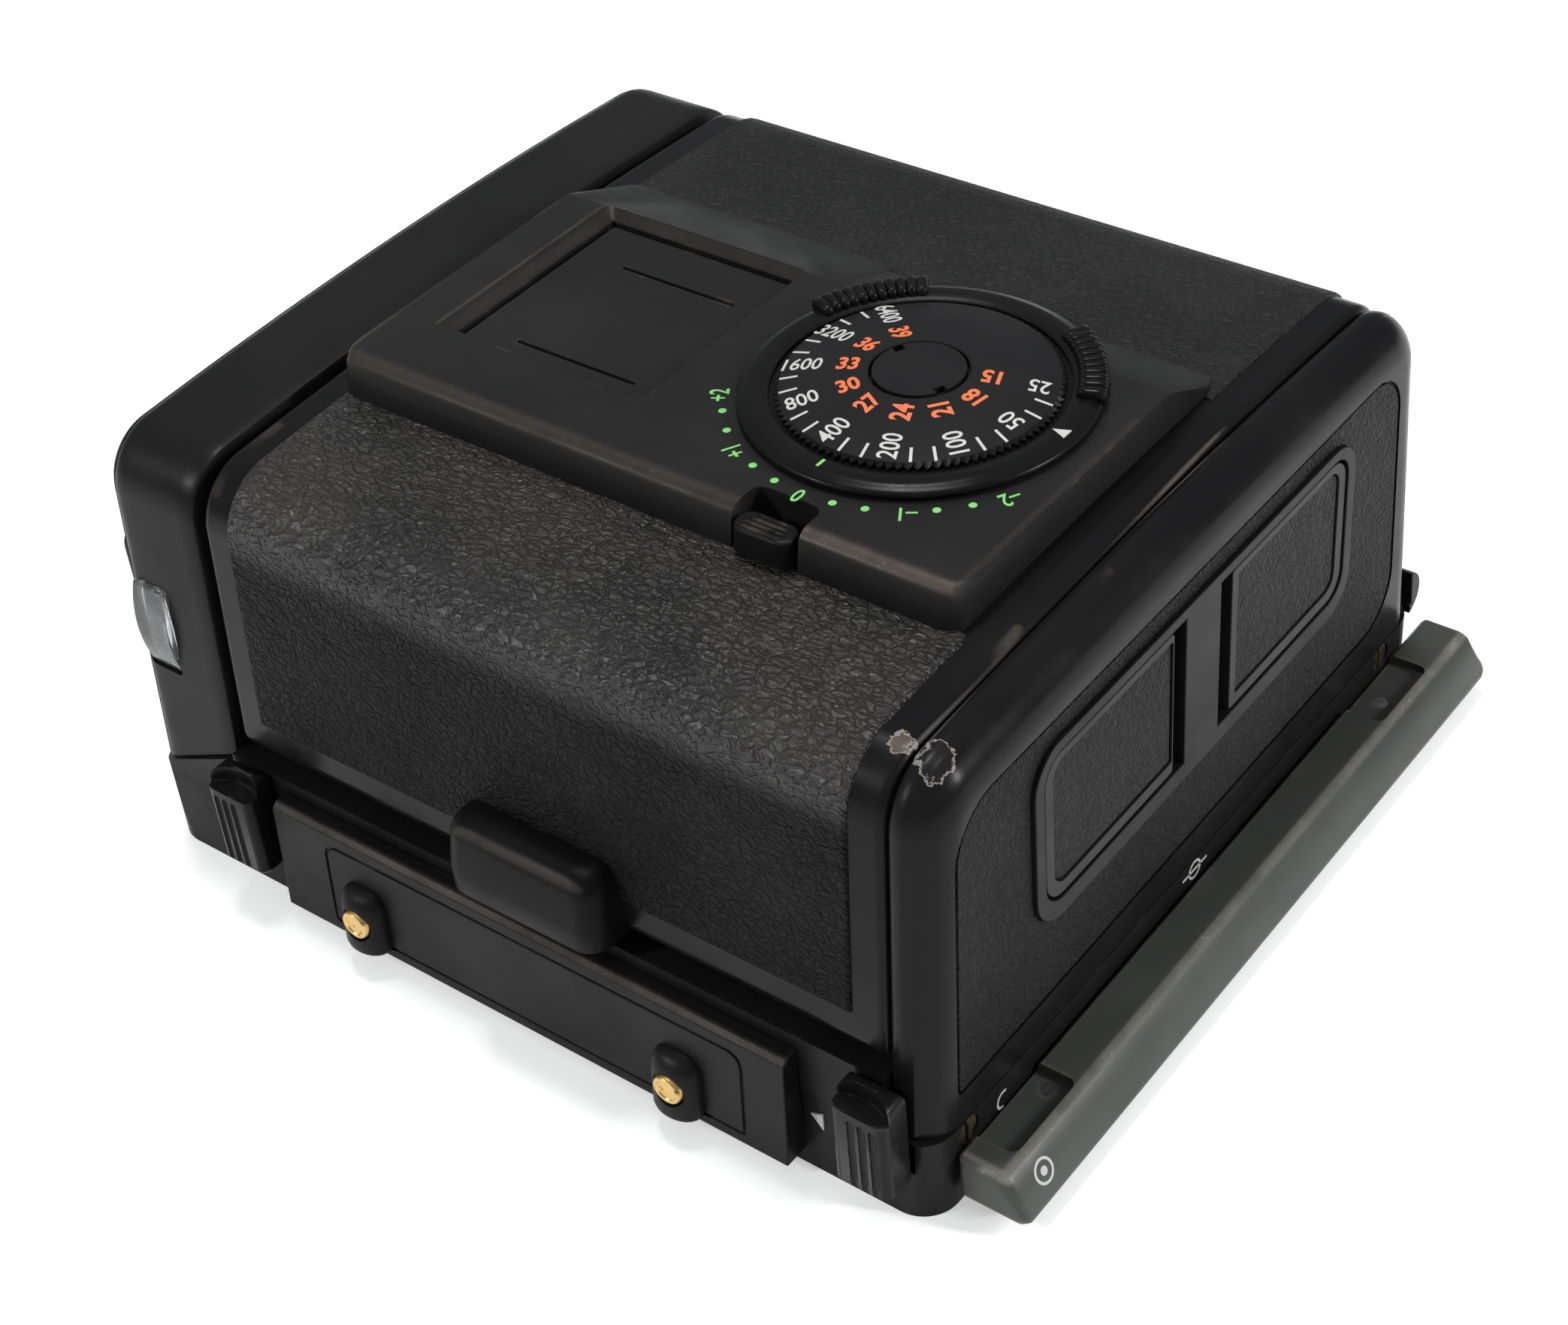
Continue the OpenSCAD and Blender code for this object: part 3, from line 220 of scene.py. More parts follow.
def rubs_and_highlight_lines(tree, colour, lines):
    """Tints the finish along (start, end, radius, amount, colour) lines, for rubbed wear and for painted
    highlights: a soft tint with bright flecks.
    """
    for start, end, radius, amount, tint in lines:
        near = near_line(tree, start, end, radius)
        cloud = ramp(tree, noise(tree, object_point(tree), 150, 5, 0.68), 0.3, 0.55, 0.45, 1.0)
        fleck = ramp(tree, noise(tree, object_point(tree, (0.5, 1, 1)), 3200, 5, 0.75), 0.6, 0.7)
        soft = product(tree, near, cloud, amount)
        bright = product(tree, soft, fleck)
        colour = blend_colour(tree, soft, colour, tint)
        colour = blend_colour(tree, bright, colour, tuple(min(c * 2.2, 1) for c in tint[:3]) + (1,))
    return colour


def satin(name, dark, light, rough, grain=0.12, wear=0.0, worn=WORN_BROWN, wear_radius=0.0006,
          smear=0.08, specular=0.11, lines=()):
    """Black moulding or paint: cloudy tone, fine grain, smeared gloss and rubbed edges."""
    material, tree, shader = new_material(name)
    point = object_point(tree)
    cloud = ramp(tree, noise(tree, point, 55, 4), 0.35, 0.7)
    colour = blend_colour(tree, cloud, dark, light)
    gloss = ramp(tree, noise(tree, point, 130, 5, 0.6), 0.3, 0.72, rough - smear, rough + smear)
    if wear:
        rubbed = edge_wear(tree, point, wear_radius, wear)
        colour = blend_colour(tree, rubbed, colour, worn)
    colour = rubs_and_highlight_lines(tree, colour, lines)
    coat(tree, shader, colour, gloss, noise(tree, point, 2600, 3), grain, 0.00006, specular)
    return material


def finish(node, material, edge=0.0):
    """Gives a node its material, and breaks its edges by edge millimetres."""
    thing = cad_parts[node]
    thing.data.materials.clear()
    thing.data.materials.append(material)
    if edge:
        weld = thing.modifiers.new("weld", "WELD")
        weld.merge_threshold = 0.000002
        flat = thing.modifiers.new("flat", "DECIMATE")
        flat.decimate_type = "DISSOLVE"
        flat.angle_limit = math.radians(0.5)
        broken = thing.modifiers.new("edge", "BEVEL")
        broken.width = edge / 1000
        broken.segments = 2
        broken.limit_method = "ANGLE"
        broken.angle_limit = math.radians(32)
        broken.use_clamp_overlap = True
        even = thing.modifiers.new("even", "WEIGHTED_NORMAL")
        even.keep_sharp = True
    return thing


base_moulding = satin("base_moulding", MOULDING_BLACK, MOULDING_GREY, 0.42, wear=0.25)
finish("base_frame", base_moulding, BASE_EDGE)
finish("rear_lugs", base_moulding, 0.25)


# ---------- Light seals, screws and interlock pin ----------
# Felt seals lie round the gate and over the dark slide. Slotted screws hold the base to the frame,
# blackened below and worn to brass where the side ones are turned.
FELT_BLACK = (0.006, 0.006, 0.0065, 1)
FELT_GREY = (0.014, 0.014, 0.015, 1)
SCREW_BRASS = (0.5, 0.4, 0.22, 1)
SCREW_DARK = (0.035, 0.03, 0.024, 1)
SCREW_BLACK = (0.02, 0.02, 0.02, 1)
STEEL_LIGHT = (0.52, 0.52, 0.51, 1)
STEEL_DARK = (0.34, 0.34, 0.34, 1)


def felt(name):
    material, tree, shader = new_material(name)
    point = object_point(tree)
    fibre = noise(tree, point, 3800, 5, 0.7)
    coat(tree, shader, blend_colour(tree, fibre, FELT_BLACK, FELT_GREY), 0.95, fibre, 0.8, 0.00015, 0.2)
    return material


def metal(name, light, dark, rough, stretch=(1, 1, 1), scratch_scale=900, spots=0.0, spot_colour=SCREW_DARK):
    """Bare metal with fine turning or rolling marks, and dark spots where it is tarnished."""
    material, tree, shader = new_material(name)
    marks = noise(tree, object_point(tree, stretch), scratch_scale, 6, 0.7)
    colour = blend_colour(tree, marks, dark, light)
    if spots:
        stain = noise(tree, object_point(tree), 900, 4, 0.7)
        stain = ramp(tree, stain, 0.68 - 0.3 * spots, 0.8 - 0.3 * spots)
        colour = blend_colour(tree, stain, colour, spot_colour)
    shader.inputs["Metallic"].default_value = 1.0
    coat(tree, shader, colour, ramp(tree, marks, 0.3, 0.7, rough - 0.07, rough + 0.1), marks, 0.15, 0.00003)
    return material


seal_felt = felt("seal_felt")
for seal in ("gate_seal", "slide_seal"):
    finish(seal, seal_felt)
finish("side_screws", metal("worn_brass_screw", SCREW_BRASS, SCREW_DARK, 0.42, spots=0.55), 0.1)
finish("base_screws", metal("black_screw", SCREW_DARK, SCREW_BLACK, 0.4), 0.1)
turned_steel = metal("turned_steel", STEEL_LIGHT, STEEL_DARK, 0.28, (4, 1, 1))
finish("interlock_pin", turned_steel)


# ---------- Gear train and frame counter ----------
# Nylon gears on steel studs take the crank's turn to the frame counter, and a brass gear brings
# the camera's winding to them. The counter drum is white with a black line for each frame.
NYLON_LIGHT = (0.62, 0.58, 0.47, 1)
NYLON_DARK = (0.52, 0.48, 0.38, 1)
DRUM_WHITE = (0.72, 0.72, 0.69, 1)
DRUM_GREY = (0.6, 0.6, 0.57, 1)
DRUM_BLACK = (0.02, 0.02, 0.02, 1)
DRUM_LINES, DRUM_LINE_SHARE = 24, 0.16
BRASS_LIGHT = (0.58, 0.44, 0.2, 1)
BRASS_DARK = (0.4, 0.29, 0.12, 1)


def moulded(name, light, dark, rough):
    """Pale moulded plastic with faint flow clouds."""
    material, tree, shader = new_material(name)
    point = object_point(tree)
    colour = blend_colour(tree, noise(tree, point, 180, 5), dark, light)
    gloss = ramp(tree, noise(tree, point, 700, 3), 0.3, 0.7, rough - 0.06, rough + 0.08)
    coat(tree, shader, colour, gloss, noise(tree, point, 2200, 3), 0.1, 0.00004)
    return material


nylon = moulded("gear_nylon", NYLON_LIGHT, NYLON_DARK, 0.45)
for gear in ("crank_gear", "idler_gear", "transfer_gear", "counter_gear"):
    finish(gear, nylon)
finish("coupling_gear", metal("cut_brass", BRASS_LIGHT, BRASS_DARK, 0.3))
finish("gear_studs", turned_steel)

drum_low, drum_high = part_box("counter_drum")
drum_middle = (drum_low + drum_high) / 2
drum_print, tree, shader = new_material("drum_print")
point = object_point(tree)
parts = add(tree, "SeparateXYZ", {0: vectors(tree, "SUBTRACT", point, tuple(drum_middle))})
turn = maths(tree, "ARCTAN2", parts.outputs[2], parts.outputs[1])
share = maths(tree, "FRACT", maths(tree, "MULTIPLY", turn, DRUM_LINES / (2 * math.pi)))
line = maths(tree, "LESS_THAN", share, DRUM_LINE_SHARE)
tone = blend_colour(tree, noise(tree, point, 200, 4), DRUM_GREY, DRUM_WHITE)
coat(tree, shader, blend_colour(tree, line, tone, DRUM_BLACK), 0.5)
finish("counter_drum", drum_print)


# ---------- Housing ----------
# The housing is a pressed metal shell in semi-gloss black paint. A slight crown runs over its top,
# its walls lean in, and the rims at both ends stand a little proud of the leather.
BODY_LENGTH = 85.0
BODY_HEIGHT = 47.0
WALL_LEAN = 3.8
CROWN_RADIUS = 560.0
CORNER_RADIUS = 6.0
SHELL_WALL = 1.6
HOUSING_LEFT, HOUSING_RIGHT = -32.8, 41.3
HOUSING_EDGE_LEFT, HOUSING_EDGE_RIGHT = 1.1, 0.9
HOUSING_RIM_Z = 17.0
HOUSING_BACK_Z = 9.0
PAINT_BLACK = (0.0055, 0.0055, 0.006, 1)
PAINT_GREY = (0.0085, 0.0085, 0.009, 1)
CHIP_BRIGHT = (0.24, 0.22, 0.2, 1)
CHIP_UNDER = (0.085, 0.058, 0.05, 1)
# a pale grey painted as highlight lines along the rims of the housing and the cover
HIGHLIGHT_GREY = (0.1, 0.09, 0.08, 1)

lean = math.radians(WALL_LEAN)


def wall_y(z):
    """Distance of the wall's face from the middle at height z."""
    return BODY_LENGTH / 2 - z * math.tan(lean)


def crown_z(y):
    return BODY_HEIGHT - y * y / (2 * CROWN_RADIUS)


start_y = (BODY_LENGTH / 2 - (BODY_HEIGHT - CORNER_RADIUS) * math.tan(lean)
           - CORNER_RADIUS / math.cos(lean))
CORNER_Z = BODY_HEIGHT - start_y * start_y / (2 * CROWN_RADIUS) - CORNER_RADIUS
CORNER_Y = wall_y(CORNER_Z) - CORNER_RADIUS / math.cos(lean)
CORNER_END = math.pi / 2 - math.asin(CORNER_Y / CROWN_RADIUS)


def half_line(inset, z_low, arc_steps=16, crown_steps=10):
    """One wall, one top corner and half the crown, from the bottom up, as (y, z)."""
    radius = max(CORNER_RADIUS - inset, 0.4)
    line = [(wall_y(z_low) - inset / math.cos(lean), z_low)]
    for i in range(arc_steps + 1):
        a = lean + (CORNER_END - lean) * i / arc_steps
        line.append((CORNER_Y + radius * math.cos(a), CORNER_Z + radius * math.sin(a)))
    for i in range(1, crown_steps):
        y = CORNER_Y * (1 - i / crown_steps)
        line.append((y, crown_z(y) - inset))
    return line


def over_line(inset, z_front, z_back, **steps):
    """The whole end view of the body, from the front wall over the crown to the back wall."""
    front = [(-y, z) for y, z in half_line(inset, z_front, **steps)]
    back = half_line(inset, z_back, **steps)
    return front + [(0, BODY_HEIGHT - inset)] + back[::-1]


def bridge(faces, first, second):
    """Adds the quads between two closed rows of the same length."""
    count = len(first)
    for i in range(count):
        j = (i + 1) % count
        faces.append((first[i], first[j], second[j], second[i]))


def loft(rings, cap_start=True, cap_end=True):
    """A closed body through rings of points, with the first and last filled."""
    points, faces, rows = [], [], []
    for ring in rings:
        rows.append(list(range(len(points), len(points) + len(ring))))
        points += ring
    for first, second in zip(rows, rows[1:]):
        bridge(faces, first, second)
    if cap_start:
        faces.append(tuple(rows[0][::-1]))
    if cap_end:
        faces.append(tuple(rows[-1]))
    return points, faces


def solid_mesh(name, shape, join=0.0):
    """A mesh from points in millimetres and faces. Points closer than join metres become one."""
    points, faces = shape
    mesh = bpy.data.meshes.new(name)
    mesh.from_pydata([[c / 1000 for c in p] for p in points], [], faces)
    work = bmesh.new()
    work.from_mesh(mesh)
    if join:
        bmesh.ops.remove_doubles(work, verts=work.verts, dist=join)
    bmesh.ops.recalc_face_normals(work, faces=work.faces)
    work.to_mesh(mesh)
    work.free()
    return mesh


def across(outline, axis, level):
    """Lifts a flat outline into space at one level of an axis."""
    if axis == "x":
        return [(level, a, b) for a, b in outline]
    if axis == "y":
        return [(a, level, b) for a, b in outline]
    return [(a, b, level) for a, b in outline]


def make(name, shape, material, body, replaces=(), edge=0.0, segments=3, smooth=35):
    """A finished piece from points in millimetres. It rides on its body from the start."""
    mesh = solid_mesh(name, shape, 0.0000005)
    mesh.materials.append(material)
    piece = put(mesh, name)
    mesh.shade_smooth()
    mesh.set_sharp_from_angle(angle=math.radians(smooth))
    if edge:
        round_edges(piece, edge, segments)
    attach(piece, body)
    if replaces:
        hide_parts(*replaces)
    return piece


def round_edges(piece, width, segments=3):
    soft = piece.modifiers.new("soft_edge", "BEVEL")
    soft.width = width / 1000
    soft.segments = segments
    soft.limit_method = "ANGLE"
    soft.angle_limit = math.radians(34)
    soft.harden_normals = True
    soft.miter_outer = "MITER_ARC"


def roundings(x, radius, direction, steps=6):
    """(x, inset) pairs of a rounded end, from the flat side to the edge at x."""
    pairs = []
    for i in range(steps + 1):
        a = math.pi / 2 * i / steps
        pairs.append((x - direction * radius * (1 - math.sin(a)), radius * (1 - math.cos(a))))
    return pairs


def arch(x, inset):
    """The housing's wall as one ring at x, its outer side shrunk by inset."""
    outer = over_line(inset, HOUSING_RIM_Z + 1.1, HOUSING_BACK_Z)
    foot = []
    for extra, z in ((1.5, 15.5), (1.5, HOUSING_RIM_Z - 0.4), (0.9, HOUSING_RIM_Z - 0.25),
                     (0.35, HOUSING_RIM_Z + 0.05), (0.08, HOUSING_RIM_Z + 0.5)):
        foot.append((-(wall_y(z) - inset - extra), z))
    inner = over_line(SHELL_WALL + 1.6, 15.5, HOUSING_BACK_Z)
    return across(foot + outer + inner[::-1], "x", x)


def chips(tree, spots):
    """Paint knocked off round each (x, y, z, radius) in millimetres, as (the patch, its bright rim)."""
    point = object_point(tree)
    ragged = noise(tree, point, 480, 4, 0.65)
    patch = rim = None
    for x, y, z, radius in spots:
        away = vectors(tree, "DISTANCE", point, (x / 1000, y / 1000, z / 1000))
        reach = maths(tree, "MULTIPLY_ADD", ragged, 2.4 * radius / 1000, away)
        inside = ramp(tree, reach, radius * 2.0 / 1000, radius * 1.95 / 1000)
        deeper = ramp(tree, reach, radius * 1.9 / 1000, radius * 1.8 / 1000, 1.0, 0.0)
        edge = product(tree, inside, deeper)
        patch = inside if patch is None else maths(tree, "MAXIMUM", patch, inside)
        rim = edge if rim is None else maths(tree, "MAXIMUM", rim, edge)
    return patch, rim


def paint(name, rough, spots, wear=0.35, under=WORN_BROWN, lines=()):
    """Semi-gloss black paint on metal, smeared by hands and chipped at its corners."""
    material, tree, shader = new_material(name)
    point = object_point(tree)
    cloud = ramp(tree, noise(tree, point, 40, 4), 0.35, 0.7)
    colour = blend_colour(tree, cloud, PAINT_BLACK, PAINT_GREY)
    rubbed = edge_wear(tree, point, 0.0005, wear, 420)
    colour = rubs_and_highlight_lines(tree, blend_colour(tree, rubbed, colour, WORN_BROWN), lines)
    gloss = ramp(tree, noise(tree, point, 90, 5, 0.62), 0.3, 0.72, rough - 0.07, rough + 0.12)
    patch, rim = chips(tree, spots)
    colour = blend_colour(tree, patch, colour, under)
    colour = blend_colour(tree, rim, colour, CHIP_BRIGHT)
    gloss = add(tree, "Mix", {0: patch, 2: gloss, 3: 0.32}).outputs[0]
    coat(tree, shader, colour, gloss, noise(tree, point, 1500, 4), 0.06, 0.00006, 0.1)
    return material


# a chip is (x, y, z, radius), and a line is (start, end, radius, amount, colour): the brown lines are rubbed
# wear, the grey ones painted highlights along the rims
HOUSING_CHIP = (40.0, -34.9, 46.0, 1.6)
HOUSING_RUBS_AND_HIGHLIGHTS = [((-31.6, -CORNER_Y - 4.2, CORNER_Z + 4.2), (-31.6, -30.0, 46.0), 1.0, 0.3, WORN_BROWN),
                ((-32.5, -36.0, 44.9), (-32.5, -12.0, 46.8), 0.4, 0.9, HIGHLIGHT_GREY),
                ((40.7, -37.0, 43.0), (40.7, -20.0, 46.6), 0.7, 0.6, WORN_BROWN),
                ((41.0, -35.0, 45.6), (41.0, 12.0, 46.9), 0.3, 0.8, HIGHLIGHT_GREY)]
housing_paint = paint("housing_paint", 0.24, [HOUSING_CHIP], under=CHIP_UNDER, lines=HOUSING_RUBS_AND_HIGHLIGHTS)
housing_rings = [arch(x, inset) for x, inset in roundings(HOUSING_LEFT, HOUSING_EDGE_LEFT, -1)[::-1]]
housing_rings += [arch(x, inset) for x, inset in roundings(HOUSING_RIGHT, HOUSING_EDGE_RIGHT, 1)]
make("housing_shell", loft(housing_rings), housing_paint, "magazine")

# The bulkhead closes the housing towards the gears and reaches into the left cap as a sleeve.
BULKHEAD_LEFT, BULKHEAD_RIGHT = -37.8, -36.2
SLEEVE_INSET = 3.3
sleeve_outer, sleeve_inner = [
    over_line(inset, low, low, arc_steps=8, crown_steps=4)
    for inset, low in ((SLEEVE_INSET - 0.4, HOUSING_BACK_Z),
                       (SLEEVE_INSET + SHELL_WALL, HOUSING_BACK_Z + 0.2))]
sleeve_rings = [across(sleeve_inner, "x", BULKHEAD_RIGHT), across(sleeve_inner, "x", HOUSING_LEFT + 1),
                across(sleeve_outer, "x", HOUSING_LEFT + 1), across(sleeve_outer, "x", BULKHEAD_LEFT)]
make("bulkhead", loft(sleeve_rings), housing_paint, "magazine", ["housing"])


# ---------- Left cap ----------
# The left cap is a satin black moulding that covers the gear train. Its front lower edge rises
# towards the housing, and its outer end has a raised pad with a round well for the folded crank.
CAP_OPEN, CAP_END, CAP_INSIDE = -33.8, -46.0, -44.4
CAP_EDGE = 3.0
CAP_BACK_Z = 9.1
SEAM_LOW, SEAM_RISE = 9.05, 5.7
PAD_LOW_Z, PAD_HIGH_Z = 18.6, 34.0
PAD_HALF = 38.3
PAD_OUT = 1.6
WELL_RADIUS = 6.8
WINDOW_GAP = 0.12
WINDOW_LOW, WINDOW_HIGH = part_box("counter_window")
CRANK_LOW, CRANK_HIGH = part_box("crank_gear")
crank_y = (CRANK_LOW.y + CRANK_HIGH.y) * 500
crank_z = (CRANK_LOW.z + CRANK_HIGH.z) * 500


def end_shell(rows, inside_x, low_front, low_back):
    """A cap with one closed end. rows are (x, inset) from the open end to the closed one."""
    points, faces = [], []

    def ring(outline, x):
        start = len(points)
        points.extend(across(outline, "x", x))
        return list(range(start, len(points)))

    outward = 1 if rows[-1][0] > rows[0][0] else -1
    rows = sorted(rows + [(inside_x, next(i for x, i in rows if outward * (x - inside_x) >= 0))],
                  key=lambda row: outward * row[0])
    last = None
    for x, inset in rows:
        front, back = low_front(x), low_back(x)
        outer = over_line(inset, front, back)
        inner = over_line(SHELL_WALL, front, back)
        if outward * (x - inside_x) <= 1e-6:
            whole = ring(outer + inner[::-1], x)
            if last:
                bridge(faces, last, whole)
            else:
                faces.append(tuple(whole))
            last = whole
            count = len(outer)
            if abs(x - inside_x) < 1e-6:
                faces.append(tuple(whole[count:]))
                last = whole[:count] + [whole[count], whole[-1]]
        else:
            inside = over_line(max(SHELL_WALL, inset + 0.3), front, back)
            foot = [inside[-1], inside[0]]
            whole = ring(outer + foot, x)
            bridge(faces, last, whole)
            last = whole
    faces.append(tuple(last))
    return points, faces


def carve(piece, cutters):
    """Cuts the shapes in cutters out of a piece."""
    tools = []
    for shape in cutters:
        tool = put(solid_mesh("cutter", shape), "cutter")
        step = piece.modifiers.new("cut", "BOOLEAN")
        step.object = tool
        step.operation = "DIFFERENCE"
        step.solver = "EXACT"
        tools.append(tool)
    bevels = [m for m in piece.modifiers if m.type == "BEVEL"]
    later = [(m.width, m.segments) for m in bevels]
    for m in bevels:
        piece.modifiers.remove(m)
    cut_mesh = bpy.data.meshes.new_from_object(piece.evaluated_get(bpy.context.evaluated_depsgraph_get()))
    piece.modifiers.clear()
    piece.data = cut_mesh
    for tool in tools:
        bpy.data.objects.remove(tool)
    piece.data.shade_smooth()
    piece.data.set_sharp_from_angle(angle=math.radians(35))
    for width, segments in later:
        round_edges(piece, width * 1000, segments)


def rounded_outline(a0, a1, b0, b1, radii, steps=6):
    """A rectangle with its own radius at each corner, counted from (a0, b0) anticlockwise."""
    if not isinstance(radii, (list, tuple)):
        radii = [radii] * 4
    corners = ((a0, b0, 1, 1, 180), (a1, b0, -1, 1, 270), (a1, b1, -1, -1, 0), (a0, b1, 1, -1, 90))
    line = []
    for (a, b, sa, sb, start), radius in zip(corners, radii):
        for i in range(steps + 1):
            turn = math.radians(start + 90 * i / steps)
            line.append((a + sa * radius + radius * math.cos(turn),
                         b + sb * radius + radius * math.sin(turn)))
    return line


def slab(outline, axis, low, high, top_outline=None):
    return loft([across(outline, axis, low), across(top_outline or outline, axis, high)])


def circle(ca, cb, radius, steps=64):
    return [(ca + radius * math.cos(2 * math.pi * i / steps), cb + radius * math.sin(2 * math.pi * i / steps))
            for i in range(steps)]


cap_moulding = satin("cap_moulding", MOULDING_BLACK, MOULDING_GREY, 0.36, grain=0.16, wear=0.3)
cap_rows = [(CAP_OPEN, 0.5), (CAP_OPEN - 0.15, 0.15), (CAP_OPEN - 0.5, 0.0)]
cap_rows += [(x, 0.0) for x in (-36, -38, -40, -42)]
cap_rows += roundings(CAP_END, CAP_EDGE, -1, 8)
left_cap = make("left_cap_shell", end_shell(
    cap_rows, CAP_INSIDE, lambda x: SEAM_LOW + SEAM_RISE * (x - CAP_END) / (CAP_OPEN - CAP_END),
    lambda x: CAP_BACK_Z), cap_moulding, "magazine", ["left_cap"])
opening = rounded_outline(WINDOW_LOW.x * 1000 - WINDOW_GAP, WINDOW_HIGH.x * 1000 + WINDOW_GAP,
                          WINDOW_LOW.z * 1000 - WINDOW_GAP, WINDOW_HIGH.z * 1000 + WINDOW_GAP, 0.5, 3)
carve(left_cap, [slab(opening, "y", -44, -36.5)])

pad_outline = rounded_outline(-PAD_HALF, PAD_HALF, PAD_LOW_Z, PAD_HIGH_Z, 2.2)
crank_pad = make("crank_pad", slab(pad_outline, "x", CAP_END - PAD_OUT, CAP_END + 0.6), cap_moulding,
                 "magazine", edge=0.5)
carve(crank_pad, [slab(circle(crank_y, crank_z, WELL_RADIUS), "x", CAP_END - PAD_OUT - 1, CAP_END - 0.02)])


# ---------- Counter window ----------
# A clear moulded lens is snapped into the cap over the counter drum. It bulges a little, and dust
# and fine scratches dull it.
CLEAR_TINT = (0.7, 0.72, 0.72, 1)
CLEAR_DUST = (0.3, 0.31, 0.31, 1)
clear_moulding, tree, shader = new_material("clear_moulding")
point = object_point(tree, (1, 1, 3))
scuff = noise(tree, point, 900, 6, 0.7)
coat(tree, shader, blend_colour(tree, ramp(tree, scuff, 0.5, 0.75), CLEAR_TINT, CLEAR_DUST),
     ramp(tree, scuff, 0.45, 0.75, 0.1, 0.35))
shader.inputs["Transmission Weight"].default_value = 0.9
shader.inputs["IOR"].default_value = 1.3
finish("counter_window", clear_moulding, 0.25)


# ---------- Folding crank ----------
# The crank is a casting in black paint. Its hub turns in the well of the pad, and its thin arm folds
# flat along the pad on a steel pin.
CRANK_WORN = (0.25, 0.24, 0.22, 1)
crank_paint = satin("crank_paint", PAINT_BLACK, PAINT_GREY, 0.34, wear=0.5, worn=CRANK_WORN)
finish("crank_shaft", crank_paint, 0.25)
finish("crank_arm", crank_paint, 0.2)
finish("crank_pin", turned_steel)


# ---------- Leather on the housing ----------
# Black leatherette is glued to both long walls and drawn over the top corners up to the dial plate.
# The grain is coarse, and where it is drawn over the front corner it opens into long creases.
# The lips of the grain's steps carry painted highlights.
LEATHER_LEFT, LEATHER_RIGHT = -29.3, 38.0
LEATHER_LOW = 20.4
LEATHER_THICK = 0.36
LEATHER_FRONT_TOP, LEATHER_BACK_TOP = 22.6, 14.5
LEATHER_FRONT_CORNER, LEATHER_BACK_CORNER = 0.8, 0.4
SHEET_COLUMN, SHEET_ROW = 1.6, 1.1
LEATHER_BLACK = (0.0054, 0.0055, 0.0053, 1)
LEATHER_GREY = (0.0105, 0.0107, 0.0102, 1)
LEATHER_BROWN = (0.0275, 0.0245, 0.0232, 1)
# the colour painted on the lips of the grain as highlights on its ridges
LEATHER_LIP_HIGHLIGHT = (0.045, 0.044, 0.041, 1)


def terraces(tree, point, scale, steps=6.0):
    """Grain that rises in low steps with wavy edges, as (its height, the lips of its steps, where highlights
    are painted).
    """
    value = product(tree, noise(tree, point, scale, 2.0, 0.5), steps)
    part = maths(tree, "FRACT", value)
    whole = maths(tree, "SUBTRACT", value, part)
    rise = add(tree, "MapRange", {0: part, 1: 0.1, 2: 0.9}, interpolation_type="SMOOTHERSTEP").outputs[0]
    whole = maths(tree, "ADD", whole, rise)
    lip = maths(tree, "COMPARE", part, 0.7, 0.09)
    return maths(tree, "DIVIDE", whole, steps), lip


